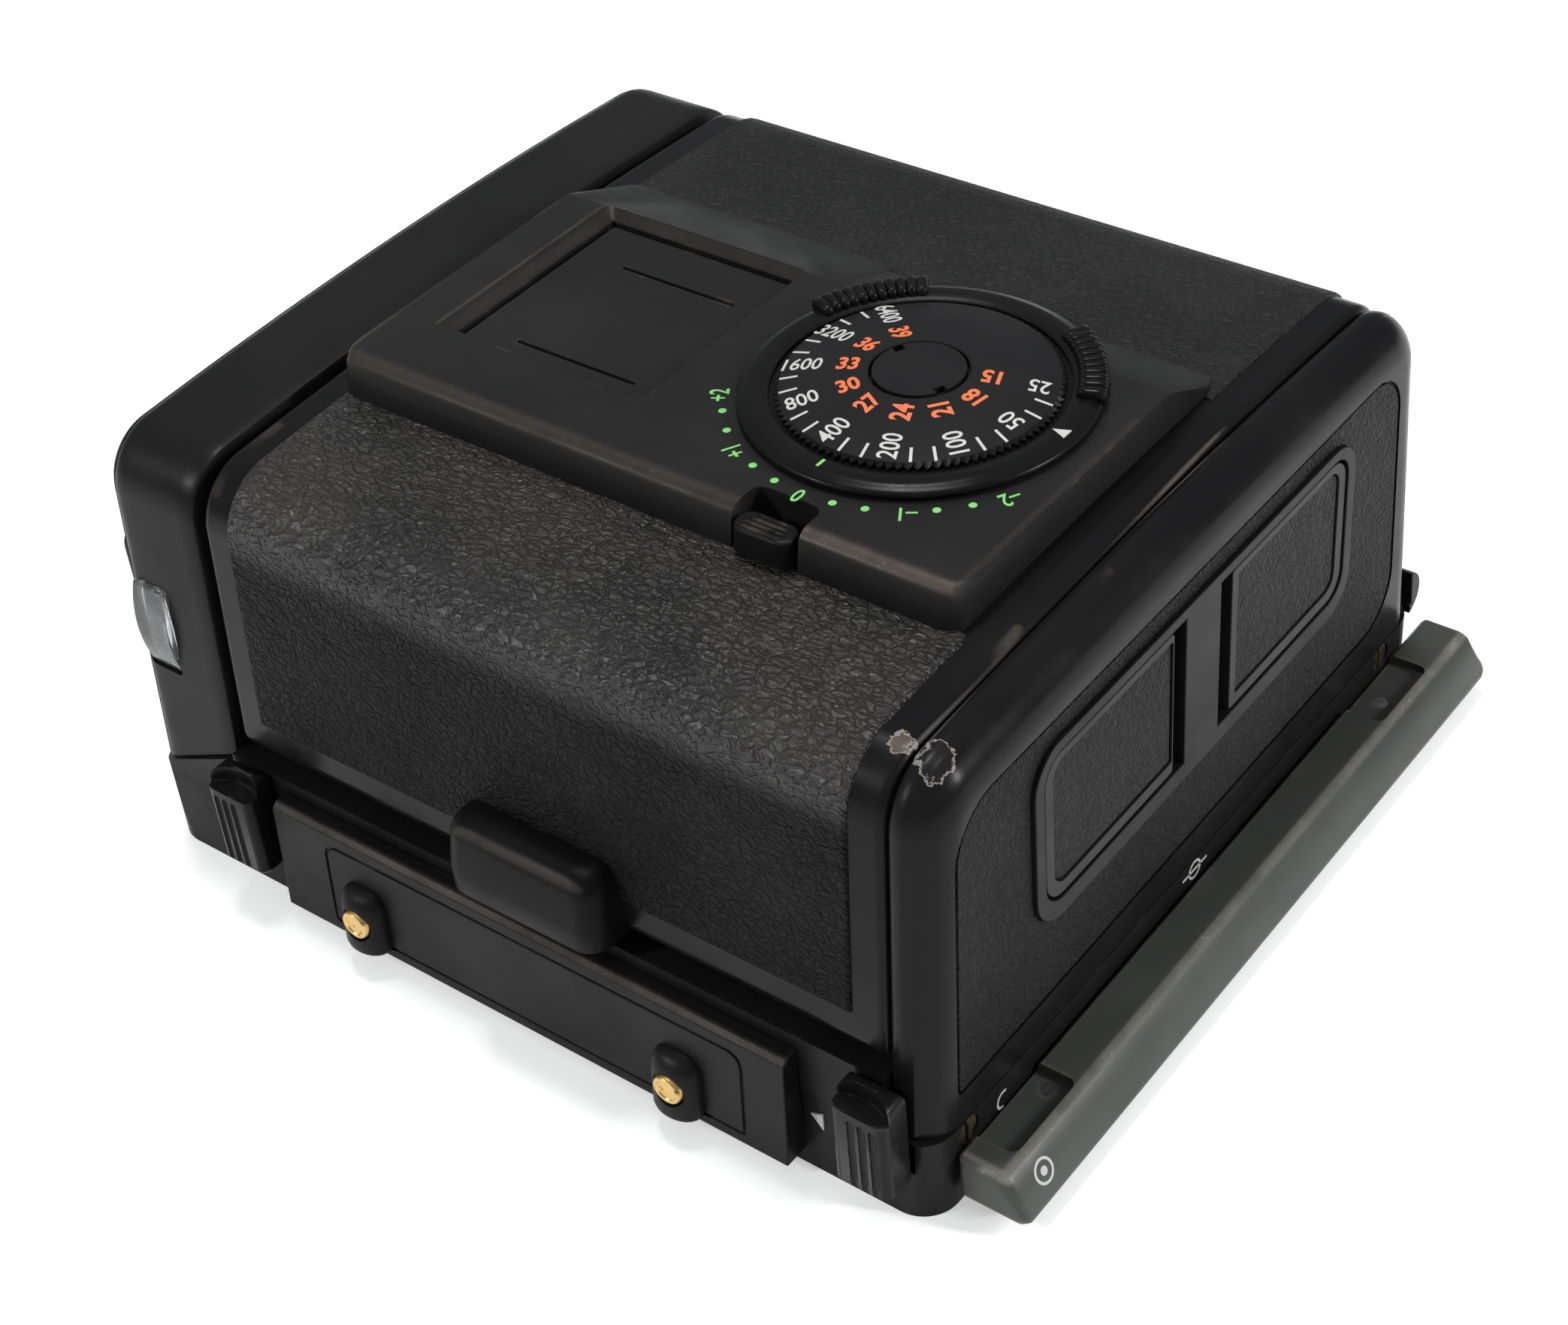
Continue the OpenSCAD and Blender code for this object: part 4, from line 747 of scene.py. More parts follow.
def leather(name, crease=0.0, cell=1.5, slant=35.0, rough=0.46, rub=0.0, depth=1.0, stretch=(0.75, 1, 1.2),
            shine=0.1):
    """Embossed leatherette. crease sets how far the grain opens along X near the top corner. rub tints the
    drawn top brown, partly as handling wear and partly as a painted lighter top.
    """
    material, tree, shader = new_material(name)
    place = add(tree, "TexCoord").outputs["Object"]
    height = add(tree, "SeparateXYZ", {0: place}).outputs[2]
    drawn = product(tree, ramp(tree, height, 0.0375, 0.0432), crease)
    drift = add(tree, "TexNoise", {"Vector": place, "Scale": 480.0, "Detail": 2.0}).outputs["Color"]
    drift = vectors(tree, "SCALE", vectors(tree, "SUBTRACT", drift, (0.5, 0.5, 0.5)), 0.0013)
    moved = vectors(tree, "ADD", place, drift)
    wall = add(tree, "Mapping", {0: moved, 2: (0, math.radians(slant), 0), 3: stretch}).outputs[0]
    top = add(tree, "Mapping", {0: moved, 2: (0, 0, math.radians(5)), 3: (0.42, 1, 1)}).outputs[0]
    small = add(tree, "TexVoronoi", {"Vector": wall, "Scale": 900.0 * cell}, feature="DISTANCE_TO_EDGE")
    large = add(tree, "TexVoronoi", {"Vector": top, "Scale": 1050.0 * cell}, feature="DISTANCE_TO_EDGE")
    wall_step, wall_lip_highlight = terraces(tree, wall, 800 * cell)
    top_step, top_lip_highlight = terraces(tree, top, 600 * cell)
    wall_grain = maths(tree, "MULTIPLY_ADD", wall_step, 3.0, ramp(tree, small.outputs["Distance"], 0.0, 0.2))
    top_grain = maths(tree, "MULTIPLY_ADD", top_step, 4.5, ramp(tree, large.outputs["Distance"], 0.0, 0.16))
    grain = add(tree, "Mix", {0: drawn, 2: wall_grain, 3: top_grain}).outputs[0]
    fine = maths(tree, "MULTIPLY_ADD", noise(tree, place, 260, 3), 1.2, grain)
    cloud = ramp(tree, noise(tree, place, 75, 4), 0.35, 0.68)
    colour = blend_colour(tree, cloud, LEATHER_BLACK, LEATHER_GREY)
    # the drawn top is tinted brown, partly as handling wear and partly as painted light falling on the top
    worn_and_lit_top = product(tree, ramp(tree, noise(tree, place, 48, 3), 0.25, 0.6), drawn, rub)
    colour = blend_colour(tree, worn_and_lit_top, colour, LEATHER_BROWN)
    # the lips of the grain's steps are painted lighter, as highlights on its ridges
    lip_highlights = add(tree, "Mix", {0: drawn, 2: wall_lip_highlight, 3: top_lip_highlight}).outputs[0]
    lip_highlights = product(tree, lip_highlights, ramp(tree, noise(tree, top, 520, 3), 0.45, 0.6),
                   ramp(tree, drawn, 0.0, 1.0, 0.3 * depth, 0.9 * depth))
    corner = product(tree, ramp(tree, height, 0.0355, 0.0395, 1.0, 1.9),
                     ramp(tree, height, 0.0425, 0.0445, 1.0, 0.62))
    gloss, polish = ramp(tree, drawn, 0.0, 1.0, 0.56, rough), ramp(tree, drawn, 0.0, 1.0, shine, 0.4)
    coat(tree, shader, blend_colour(tree, lip_highlights, colour, LEATHER_LIP_HIGHLIGHT), gloss, product(tree, fine, corner),
         0.9 * depth, 0.0002, polish)
    return material


def walk(line, spacing):
    """Points evenly spaced along a polyline, each with its outward normal and its distance from both ends."""
    lengths = [0.0]
    for a, b in zip(line, line[1:]):
        lengths.append(lengths[-1] + math.dist(a, b))
    total = lengths[-1]
    count = max(2, round(total / spacing))
    fixed = [0, 0.1, 0.3, 0.7] + [total * i / count for i in range(1, count)]
    fixed += [total - 0.3, total - 0.1, total]
    out, seg = [], 0
    for s in sorted(fixed):
        while seg < len(lengths) - 2 and lengths[seg + 1] < s:
            seg += 1
        t = (s - lengths[seg]) / (lengths[seg + 1] - lengths[seg])
        a, b = line[seg], line[seg + 1]
        step = (b[0] - a[0], b[1] - a[1])
        size = math.hypot(*step)
        out.append((a[0] + step[0] * t, a[1] + step[1] * t, step[1] / size, -step[0] / size, s, total - s))
    return out


def wrapped_sheet(side, top_y, radius):
    """A sheet laid on one wall and over its top corner. side is -1 for the front and 1 for the back."""
    left, right = LEATHER_LEFT, LEATHER_RIGHT
    line = [p for p in half_line(0, LEATHER_LOW, arc_steps=24, crown_steps=14) if p[0] > top_y]
    line.append((top_y, crown_z(top_y)))
    rows = walk(line, SHEET_ROW)
    columns = [0, 0.1, 0.3, 0.7] + [SHEET_COLUMN * i for i in range(1, int((right - left) / SHEET_COLUMN))]
    columns += [right - left - d for d in (0.7, 0.3, 0.1, 0)]
    points, faces = [], []
    for layer in (0, 1):
        for y, z, ny, nz, below, above in rows:
            corner = radius - math.sqrt(max(radius ** 2 - max(radius - above, 0) ** 2, 0))
            x0, x1 = left + corner, right - corner
            for c in columns:
                share = c / (right - left)
                edge = min(c, right - left - c, below, above)
                lift = LEATHER_THICK * min(1.0, math.sqrt(edge / 0.3)) if layer == 0 else -0.06
                points.append((x0 + (x1 - x0) * share, side * (y + ny * lift), z + nz * lift))
    wide, tall = len(columns), len(rows)
    plane = wide * tall
    for r in range(tall - 1):
        for c in range(wide - 1):
            a = r * wide + c
            faces.append((a, a + 1, a + 1 + wide, a + wide))
            faces.append((a + plane, a + wide + plane, a + 1 + wide + plane, a + 1 + plane))
    rim = list(range(wide)) + [r * wide + wide - 1 for r in range(1, tall)]
    rim += [(tall - 1) * wide + c for c in range(wide - 2, -1, -1)]
    rim += [r * wide for r in range(tall - 2, 0, -1)]
    for a, b in zip(rim, rim[1:] + rim[:1]):
        faces.append((a, a + plane, b + plane, b))
    return points, faces


front_hide = leather("front_hide", crease=1.0, rough=0.41, rub=1.0)
back_hide = leather("back_hide", slant=60.0, depth=0.6, shine=0.26)
make("front_leather_sheet", wrapped_sheet(-1, LEATHER_FRONT_TOP, LEATHER_FRONT_CORNER), front_hide,
     "magazine", ["front_leather"], smooth=70)
make("back_leather_sheet", wrapped_sheet(1, LEATHER_BACK_TOP, LEATHER_BACK_CORNER), back_hide,
     "magazine", ["back_leather"], smooth=70)


# ---------- Dial plate ----------
# The plate is a die casting in satin black paint, held to the roof. It has a bevelled recess with two
# slits for a memo card, a scale of exposure steps round the dial, and rubbed front edges with a painted
# brown sheen. Painted highlight lines run along its left edge and the recess's lip, and painted brown
# sheen lies on the recess's left and back bevels.
PLATE_LOW, PLATE_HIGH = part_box("dial_plate")
PLATE_LEFT, PLATE_RIGHT = PLATE_LOW.x * 1000, PLATE_HIGH.x * 1000
PLATE_FRONT = PLATE_LOW.y * 1000 - 0.3
PLATE_TOP = PLATE_HIGH.z * 1000
PLATE_DRAFT = 2.0
PLATE_FLAT_END = 9.0
PLATE_BACK_DIAL, PLATE_BACK_MEMO = 16.9, 17.8
STEP_AT = 1.9
PLATE_CORNER = 1.7
POST_LOW, POST_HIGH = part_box("dial_post")
DIAL_X = (POST_LOW.x + POST_HIGH.x) * 500
DIAL_Y = (POST_LOW.y + POST_HIGH.y) * 500
LOCK_LOW, LOCK_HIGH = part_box("lock_button")
LOCK_X = (LOCK_LOW.x + LOCK_HIGH.x) * 500
PLATE_BLACK = (0.0128, 0.0128, 0.0129, 1)
PLATE_GREY = (0.0178, 0.0178, 0.0178, 1)
# pale brown for rubbed edges, and for the painted highlight lines on the left edge and the recess's lip
RUBBED_AND_LIT_EDGE = (0.085, 0.07, 0.056, 1)
# brown for the front edge's rubbed wear and its painted sheen
EDGE_WEAR_AND_SHEEN = (0.038, 0.032, 0.027, 1)
# brown painted as sheen on the recess's left and back bevels
MEMO_SHEEN_BROWN = (0.027, 0.0237, 0.0207, 1)

MEMO_LEFT, MEMO_RIGHT, MEMO_FRONT, MEMO_BACK = -25.0, -1.3, -14.7, 9.8
MEMO_BEVEL, MEMO_DEPTH = 1.55, 1.1
GROOVE_WIDTH, GROOVE_DEPTH = 0.65, 0.55
SLIT_HALF, SLIT_DEPTH = 0.2, 0.7
NOTCH_HALF, NOTCH_DEEP = 3.4, 4.2

front_edge = (PLATE_FRONT + 1.1, PLATE_TOP - 0.2)
# the broad bands on the front edge and up the right end are rubbed wear and painted sheen together, the line
# beside the lock notch is rubbed wear, and the line up the left edge is a painted highlight
plate_rubs_and_highlights = [((PLATE_LEFT + 0.6, *front_edge), (PLATE_RIGHT - 0.6, *front_edge), 1.3, 0.95, EDGE_WEAR_AND_SHEEN),
              ((LOCK_X + NOTCH_HALF, *front_edge), (PLATE_RIGHT - 1.0, *front_edge), 0.8, 0.8, RUBBED_AND_LIT_EDGE),
              ((PLATE_RIGHT - 0.6, *front_edge), (PLATE_RIGHT - 0.3, 4.0, PLATE_TOP), 0.5, 0.5, EDGE_WEAR_AND_SHEEN),
              ((PLATE_LEFT + 0.2, *front_edge), (PLATE_LEFT + 0.2, 16.0, PLATE_TOP - 0.6), 0.4, 0.9,
               RUBBED_AND_LIT_EDGE)]
# the lines along the recess's lip are painted highlights, and those on its left and back bevels painted brown
# sheen
memo_lip = across([(MEMO_LEFT - 0.1, MEMO_FRONT), (MEMO_LEFT - 0.1, MEMO_BACK + 0.1),
                   (MEMO_RIGHT, MEMO_BACK + 0.1)], "z", PLATE_TOP)
memo_bevel = across([(MEMO_LEFT + 0.8, MEMO_FRONT + 0.7), (MEMO_LEFT + 0.8, MEMO_BACK - 0.8),
                     (MEMO_RIGHT - 0.7, MEMO_BACK - 0.8)], "z", PLATE_TOP - 0.6)
for k in (0, 1):
    plate_rubs_and_highlights.append((memo_lip[k], memo_lip[k + 1], 0.3, 0.4, RUBBED_AND_LIT_EDGE))
    plate_rubs_and_highlights.append((memo_bevel[k], memo_bevel[k + 1], 0.9, 0.9, MEMO_SHEEN_BROWN))
plate_casting = satin("plate_casting", PLATE_BLACK, PLATE_GREY, 0.4, grain=0.1, wear=0.5, worn=RUBBED_AND_LIT_EDGE,
                      wear_radius=0.0007, smear=0.07, lines=plate_rubs_and_highlights)


def plate_ring(x, distance, back):
    """The plate's section at x. distance is how far it is from the end, where the corners are rounded."""
    cut = PLATE_CORNER - math.sqrt(max(PLATE_CORNER ** 2 - max(PLATE_CORNER - distance, 0) ** 2, 0))
    front, rear = PLATE_FRONT + cut, back - cut
    return across([(front + 0.15, crown_z(front) - 0.6), (front, crown_z(front) + 0.45),
                   (front + 0.5, PLATE_TOP - 0.8), (front + 0.85, PLATE_TOP - 0.35),
                   (front + 1.35, PLATE_TOP - 0.08), (front + PLATE_DRAFT, PLATE_TOP),
                   (PLATE_FLAT_END, PLATE_TOP), (rear, crown_z(rear) + 0.85), (rear, crown_z(rear) - 0.6)],
                  "x", x)


plate_steps = (0, 0.15, 0.5, 1.0, PLATE_CORNER, 8, 20)
plate_rings = [plate_ring(PLATE_LEFT + d, d, PLATE_BACK_MEMO) for d in plate_steps]
plate_rings += [plate_ring(STEP_AT, 20, PLATE_BACK_MEMO), plate_ring(STEP_AT + 0.6, 20, PLATE_BACK_DIAL)]
plate_rings += [plate_ring(PLATE_RIGHT - d, d, PLATE_BACK_DIAL) for d in plate_steps[::-1]]
dial_plate = make("dial_plate_casting", loft(plate_rings), plate_casting, "magazine",
                  ["dial_plate"], edge=0.45, segments=3)
memo_top = rounded_outline(MEMO_LEFT - 0.15, MEMO_RIGHT + 0.15, MEMO_FRONT - 0.15, MEMO_BACK + 0.15, 1.0, 4)
memo_floor = rounded_outline(MEMO_LEFT + MEMO_BEVEL, MEMO_RIGHT - 0.4, MEMO_FRONT + 0.4,
                             MEMO_BACK - MEMO_BEVEL, 0.4, 4)
floor_z = PLATE_TOP - MEMO_DEPTH
notch = rounded_outline(LOCK_X - NOTCH_HALF, LOCK_X + NOTCH_HALF, PLATE_FRONT - 2, PLATE_FRONT + NOTCH_DEEP,
                        [0.1, 0.1, 1.1, 1.1], 5)
plate_cuts = [loft([across(memo_floor, "z", floor_z), across(memo_top, "z", PLATE_TOP + 0.1)]),
              slab(notch, "z", BODY_HEIGHT - 2, PLATE_TOP + 1)]
# the card slides in under a lip, so a deep groove runs along the foot of the two high sides
left, right = MEMO_LEFT + MEMO_BEVEL - 0.15, MEMO_RIGHT - 0.6
front, back = MEMO_FRONT + 0.6, MEMO_BACK - MEMO_BEVEL + 0.15
groove = [(left, front), (left + GROOVE_WIDTH, front), (left + GROOVE_WIDTH, back - GROOVE_WIDTH),
          (right, back - GROOVE_WIDTH), (right, back), (left, back)]
plate_cuts.append(slab(groove, "z", floor_z - GROOVE_DEPTH, floor_z + 0.4))
for slit_y, slit_left, slit_right in ((2.5, -17.6, -4.5), (-12.0, -18.0, -4.3)):
    slit = rounded_outline(slit_left, slit_right, slit_y - SLIT_HALF, slit_y + SLIT_HALF, 0.15, 2)
    plate_cuts.append(slab(slit, "z", floor_z - SLIT_DEPTH, PLATE_TOP + 1))
carve(dial_plate, plate_cuts)


# ---------- Exposure compensation ring ----------
# The ring turns on the post with its nut. It is moulded in satin black with two grips of rounded ribs,
# and a white triangle points at the film speed in use.
RING_RADIUS = 15.8
RING_BORE = 12.95
POST_BORE = 2.62
RING_FLOOR, RING_TOP = 0.3, 1.2
GRIP_FROM = (124, 22)
GRIP_RIBS = 11
GRIP_STEP = 3.6
GRIP_RADIUS, GRIP_HEIGHT = 14.75, 1.1
RING_BLACK = (0.0045, 0.0045, 0.0047, 1)
RING_GREY = (0.0075, 0.0075, 0.0077, 1)


def hoop(rings):
    """A closed body through rings of points, with the last joined back to the first."""
    return loft(rings + rings[:1], False, False)


def turned(profile, steps=160):
    """A body of revolution about the dial's axis, from (radius, height over the plate) pairs."""
    return hoop([[(DIAL_X + a, DIAL_Y + b, PLATE_TOP + height) for a, b in circle(0, 0, radius, steps)]
                 for radius, height in profile])


def rounded_lump(centre, long_axis, half, power=0.55, steps=14, rings=8):
    """A bar with soft, almost square sides: half is (along, across, up)."""
    rows = []
    side = Vector((-long_axis[1], long_axis[0], 0))
    along = Vector((long_axis[0], long_axis[1], 0))

    def swell(value):
        return math.copysign(abs(value) ** power, value)

    for i in range(rings + 1):
        v = -math.pi / 2 + math.pi * i / rings
        rows.append([])
        for k in range(steps):
            u = 2 * math.pi * k / steps
            p = Vector(centre) + along * half[0] * swell(math.cos(v)) * swell(math.cos(u))
            p += side * half[1] * swell(math.cos(v)) * swell(math.sin(u))
            p += Vector((0, 0, half[2] * swell(math.sin(v))))
            rows[-1].append(tuple(p))
    return loft(rows, False, False)


def several(shapes):
    """Joins shapes into one list of points and faces."""
    points, faces = [], []
    for some_points, some_faces in shapes:
        start = len(points)
        points += some_points
        faces += [tuple(i + start for i in face) for face in some_faces]
    return points, faces


ring_moulding = satin("ring_moulding", RING_BLACK, RING_GREY, 0.3, grain=0.1, wear=0.2)
ring_profile = [(POST_BORE, RING_FLOOR), (RING_RADIUS - 0.1, RING_FLOOR), (RING_RADIUS, RING_FLOOR + 0.1),
                (RING_RADIUS - 0.02, RING_FLOOR + 0.35), (RING_RADIUS - 0.2, RING_FLOOR + 0.55),
                (RING_RADIUS - 0.45, RING_FLOOR + 0.62), (RING_RADIUS - 0.75, RING_TOP - 0.12),
                (RING_RADIUS - 1.05, RING_TOP), (RING_BORE + 0.25, RING_TOP - 0.05),
                (RING_BORE, RING_TOP - 0.25), (RING_BORE, RING_FLOOR + 0.35), (POST_BORE, RING_FLOOR + 0.35)]
ring_shapes = [turned(ring_profile)]
for first_angle in GRIP_FROM:
    for i in range(GRIP_RIBS):
        a = math.radians(first_angle + GRIP_STEP * i)
        ux, uy = math.cos(a), math.sin(a)
        middle = (DIAL_X + GRIP_RADIUS * ux, DIAL_Y + GRIP_RADIUS * uy, PLATE_TOP + GRIP_HEIGHT)
        half = (1.35, 0.6, 0.85) if i in (0, GRIP_RIBS - 1) else (1.35, 0.5, 0.95)
        ring_shapes.append(rounded_lump(middle, (ux, uy), half))
make("compensation_ring_moulding", several(ring_shapes), ring_moulding, "compensation_dial",
     ["compensation_ring"], smooth=50)


# ---------- Film speed disc and nut ----------
# The disc is gently domed, with a fine saw-tooth rim. It turns inside the ring, and a flat nut with
# two notches for a pin wrench holds it on the post.
DISC_RADIUS = 12.6
DISC_TEETH, TOOTH_DEPTH = 96, 0.55
DISC_UNDER, DISC_SEAT = 0.95, 1.5
DOME_TOP, DOME_FALL = 2.6, 0.0085
NUT_RADIUS = 4.05
NUT_TURN = -27.0
DISC_BLACK = (0.0095, 0.0095, 0.0102, 1)
DISC_GREY = (0.0145, 0.0145, 0.0152, 1)


def dome(x, y):
    """Height of the disc over the plate at a point."""
    return DOME_TOP - DOME_FALL * ((x - DIAL_X) ** 2 + (y - DIAL_Y) ** 2)


disc_moulding = satin("disc_moulding", DISC_BLACK, DISC_GREY, 0.42, grain=0.1, smear=0.05)


def disc_ring(radius, height=None, tooth=0.0):
    """One ring of the disc. Without a height it lies on the dome."""
    ring = []
    for i in range(2 * DISC_TEETH):
        a = math.pi * i / DISC_TEETH
        r = radius - (tooth if i % 2 else 0)
        z = height if height is not None else dome(DIAL_X + r, DIAL_Y)
        ring.append((DIAL_X + r * math.cos(a), DIAL_Y + r * math.sin(a), PLATE_TOP + z))
    return ring


disc_rings = [disc_ring(POST_BORE, DISC_UNDER), disc_ring(DISC_RADIUS, DISC_UNDER, TOOTH_DEPTH),
              disc_ring(DISC_RADIUS, dome(DIAL_X + DISC_RADIUS, DIAL_Y) - 0.25, TOOTH_DEPTH)]
disc_rings += [disc_ring(r) for r in (DISC_RADIUS - TOOTH_DEPTH, 11.4, 10.4, 9.2, 8.0, 6.8, 5.8, 5.0,
                                      NUT_RADIUS + 0.42)]
disc_rings += [disc_ring(NUT_RADIUS + 0.3, dome(DIAL_X + NUT_RADIUS, DIAL_Y) - 0.12),
               disc_ring(NUT_RADIUS + 0.3, DISC_SEAT), disc_ring(POST_BORE, DISC_SEAT)]
make("film_speed_disc_moulding", hoop(disc_rings), disc_moulding, "film_speed_dial",
     ["speed_disc"], smooth=30)

nut_top = PLATE_TOP + dome(DIAL_X + NUT_RADIUS, DIAL_Y) + 0.02
nut = make("dial_nut_plate", slab(circle(DIAL_X, DIAL_Y, NUT_RADIUS, 96), "z", nut_top - 0.85, nut_top),
           disc_moulding, "compensation_dial", ["dial_nut"], edge=0.12, segments=2)
nut_notches = []
for half_turn in (0, 180):
    a = math.radians(NUT_TURN + half_turn)
    shape = []
    for along, side in ((NUT_RADIUS - 0.75, -0.5), (NUT_RADIUS + 0.5, -0.5), (NUT_RADIUS + 0.5, 0.5),
                        (NUT_RADIUS - 0.75, 0.5)):
        shape.append((DIAL_X + along * math.cos(a) - side * math.sin(a),
                      DIAL_Y + along * math.sin(a) + side * math.cos(a)))
    nut_notches.append(slab(shape, "z", nut_top - 0.6, nut_top + 0.5))
carve(nut, nut_notches)
finish("dial_post", turned_steel)


# ---------- Printed scales ----------
# The film speeds are printed on the disc in white and orange, and the exposure steps round the ring
# in green. The print is thin, and a white triangle on the ring points at the speed in use.
PRINT_WHITE = (0.55, 0.55, 0.53, 1)
PRINT_ORANGE = (0.78, 0.165, 0.05, 1)
PRINT_GREEN = (0.2, 0.60, 0.15, 1)
PRINT_HEIGHT = 0.025
FIRST_SPEED_ANGLE, SPEED_STEP = 21.5, 30.2
SPEED_RADIUS, GRADE_RADIUS = 10.35, 6.25
FIGURE_HEIGHT, FIGURE_NARROW = 1.78, 0.8
TICK_FROM, TICK_TO, TICK_HALF = 10.45, 12.05, 0.13
TICK_RADIUS = 11.2
STEP_RADIUS, DOT_RADIUS = 17.35, 16.95
STEP_MARKS = {"+2": -148.3, "+1": -119.2, "0": -90.6, "\u20131": -58.6, "\u20132": -30.4}
DOT_ANGLES = (-140.2, -130.1, -110.5, -100.5, -80.3, -70.7, -50.9, -40.9)
SPEEDS = ("25", "50", "100", "200", "400", "800", "1600", "3200", "6400")
GRADES = ("15", "18", "21", "24", "27", "30", "33", "36", "39")


def ink(name, colour):
    material, tree, shader = new_material(name)
    point = object_point(tree)
    thin = ramp(tree, noise(tree, point, 2400, 5, 0.7), 0.2, 0.55, 0.72, 1.0)
    dull = tuple(c * 0.45 for c in colour[:3]) + (1,)
    coat(tree, shader, blend_colour(tree, thin, dull, colour), ramp(tree, thin, 0, 1, 0.75, 0.5))
    return material


def placed(outline, middle, turn, surface):
    """Lays closed flat outlines, given as points and faces, on a surface as thin raised print."""
    points, faces = outline
    c, s = math.cos(math.radians(turn)), math.sin(math.radians(turn))
    laid = []
    for u, v, level in points:
        x, y = middle[0] + u * c - v * s, middle[1] + u * s + v * c
        laid.append((x, y, surface(x, y) + (PRINT_HEIGHT if level > 0 else -0.06)))
    return laid, faces


def figures(text, height, narrow, bold=0.012):
    """The outlines of a number, centred on the origin, as points and faces."""
    curve = bpy.data.curves.new("figures", "FONT")
    curve.body = text
    curve.extrude = 0.1
    curve.offset = bold
    curve.resolution_u = 3
    holder = put(curve, "figures")
    mesh = bpy.data.meshes.new_from_object(holder.evaluated_get(bpy.context.evaluated_depsgraph_get()))
    bpy.data.objects.remove(holder)
    wide = [v.co.x for v in mesh.vertices]
    tall = [v.co.y for v in mesh.vertices]
    size = height / (max(tall) - min(tall))
    mid_x, mid_y = (max(wide) + min(wide)) / 2, (max(tall) + min(tall)) / 2
    points = [((v.co.x - mid_x) * size * narrow, (v.co.y - mid_y) * size, v.co.z) for v in mesh.vertices]
    return points, [tuple(p.vertices) for p in mesh.polygons]


def flat_shape(outline):
    return slab(outline, "z", -1, 1)


def oblong(start, end, half):
    return flat_shape([(start, -half), (end, -half), (end, half), (start, half)])


def on_disc(x, y):
    return PLATE_TOP + dome(x, y)


def on_plate(x, y):
    return PLATE_TOP


def on_ring(x, y):
    return PLATE_TOP + RING_TOP - 0.01


def round_dial(radius, angle):
    a = math.radians(angle)
    return DIAL_X + radius * math.cos(a), DIAL_Y + radius * math.sin(a)


white_ink = ink("white_ink", PRINT_WHITE)
orange_ink = ink("orange_ink", PRINT_ORANGE)
green_ink = ink("green_ink", PRINT_GREEN)
white_marks, orange_marks, green_marks = [], [], []
tick = oblong(TICK_FROM - TICK_RADIUS, TICK_TO - TICK_RADIUS, TICK_HALF)
for i, (speed, grade) in enumerate(zip(SPEEDS, GRADES)):
    angle = FIRST_SPEED_ANGLE - SPEED_STEP * i
    white_marks.append(placed(figures(speed, FIGURE_HEIGHT, FIGURE_NARROW), round_dial(SPEED_RADIUS, angle),
                              angle + 180, on_disc))
    orange_marks.append(placed(figures(grade, FIGURE_HEIGHT + 0.1, FIGURE_NARROW + 0.04, 0.032),
                               round_dial(GRADE_RADIUS, angle), angle + 180, on_disc))
    for third in (1, 2):
        between = angle - SPEED_STEP * third / 3
        if i < len(SPEEDS) - 1:
            white_marks.append(placed(tick, round_dial(TICK_RADIUS, between), between, on_disc))
make("speed_figures", several(white_marks), white_ink, "film_speed_dial", smooth=5)
make("grade_figures", several(orange_marks), orange_ink, "film_speed_dial", smooth=5)

for text, angle in STEP_MARKS.items():
    green_marks.append(placed(figures(text, 1.75, 0.74), round_dial(STEP_RADIUS, angle), angle - 90,
                              on_plate))
for angle in DOT_ANGLES:
    dot = flat_shape(circle(0, 0, 0.36, 24))
    green_marks.append(placed(dot, round_dial(DOT_RADIUS, angle), angle, on_plate))
make("step_figures", several(green_marks), green_ink, "magazine", smooth=5)

triangle = flat_shape([(-0.75, 0), (0.75, -0.62), (0.75, 0.62)])
make("speed_pointer", placed(triangle, round_dial(14.2, -1), -1, on_ring), white_ink, "compensation_dial",
     smooth=5)
make("zero_pointer", placed(oblong(-0.55, 0.5, 0.14), round_dial(14.0, -91), -91, on_ring), green_ink,
     "compensation_dial", smooth=5)


# ---------- Dial lock ----------
# A short ribbed button slides in a notch of the plate's front edge and holds the ring. Fingers have
# rubbed its ribs brown.
LOCK_LEFT, LOCK_RIGHT = LOCK_LOW.x * 1000, LOCK_HIGH.x * 1000
LOCK_FRONT, LOCK_BACK = LOCK_LOW.y * 1000, LOCK_HIGH.y * 1000
LOCK_BOTTOM = LOCK_LOW.z * 1000
LOCK_TOP = 49.9
LOCK_WORN = (0.12, 0.105, 0.085, 1)
RIB_STEP = 0.6
lock_moulding = satin("lock_moulding", RING_BLACK, RING_GREY, 0.4, wear=0.9, worn=LOCK_WORN,
                      wear_radius=0.0004)
lock_outline = rounded_outline(LOCK_LEFT, LOCK_RIGHT, LOCK_FRONT + 0.5, LOCK_FRONT + 3.7, 1.5, 8)
lock_top = rounded_outline(LOCK_LEFT + 0.15, LOCK_RIGHT - 0.15, LOCK_FRONT + 0.8, LOCK_FRONT + 3.6, 1.35, 8)
make("lock_button_moulding", slab(lock_outline, "z", LOCK_BOTTOM + 0.05, LOCK_TOP, lock_top), lock_moulding,
     "dial_lock", ["lock_button"], edge=0.3, segments=3)
ribs = [rounded_lump((LOCK_X, LOCK_FRONT + 1.3 + RIB_STEP * i, LOCK_TOP), (1, 0),
                     (2.1 - 0.25 * abs(i - 1), 0.2, 0.13)) for i in range(4)]
make("lock_ribs", several(ribs), lock_moulding, "dial_lock", smooth=60)
stem = rounded_outline(LOCK_X - 2.2, LOCK_X + 2.2, LOCK_FRONT + 2.6, LOCK_BACK - 0.3, 0.3, 3)
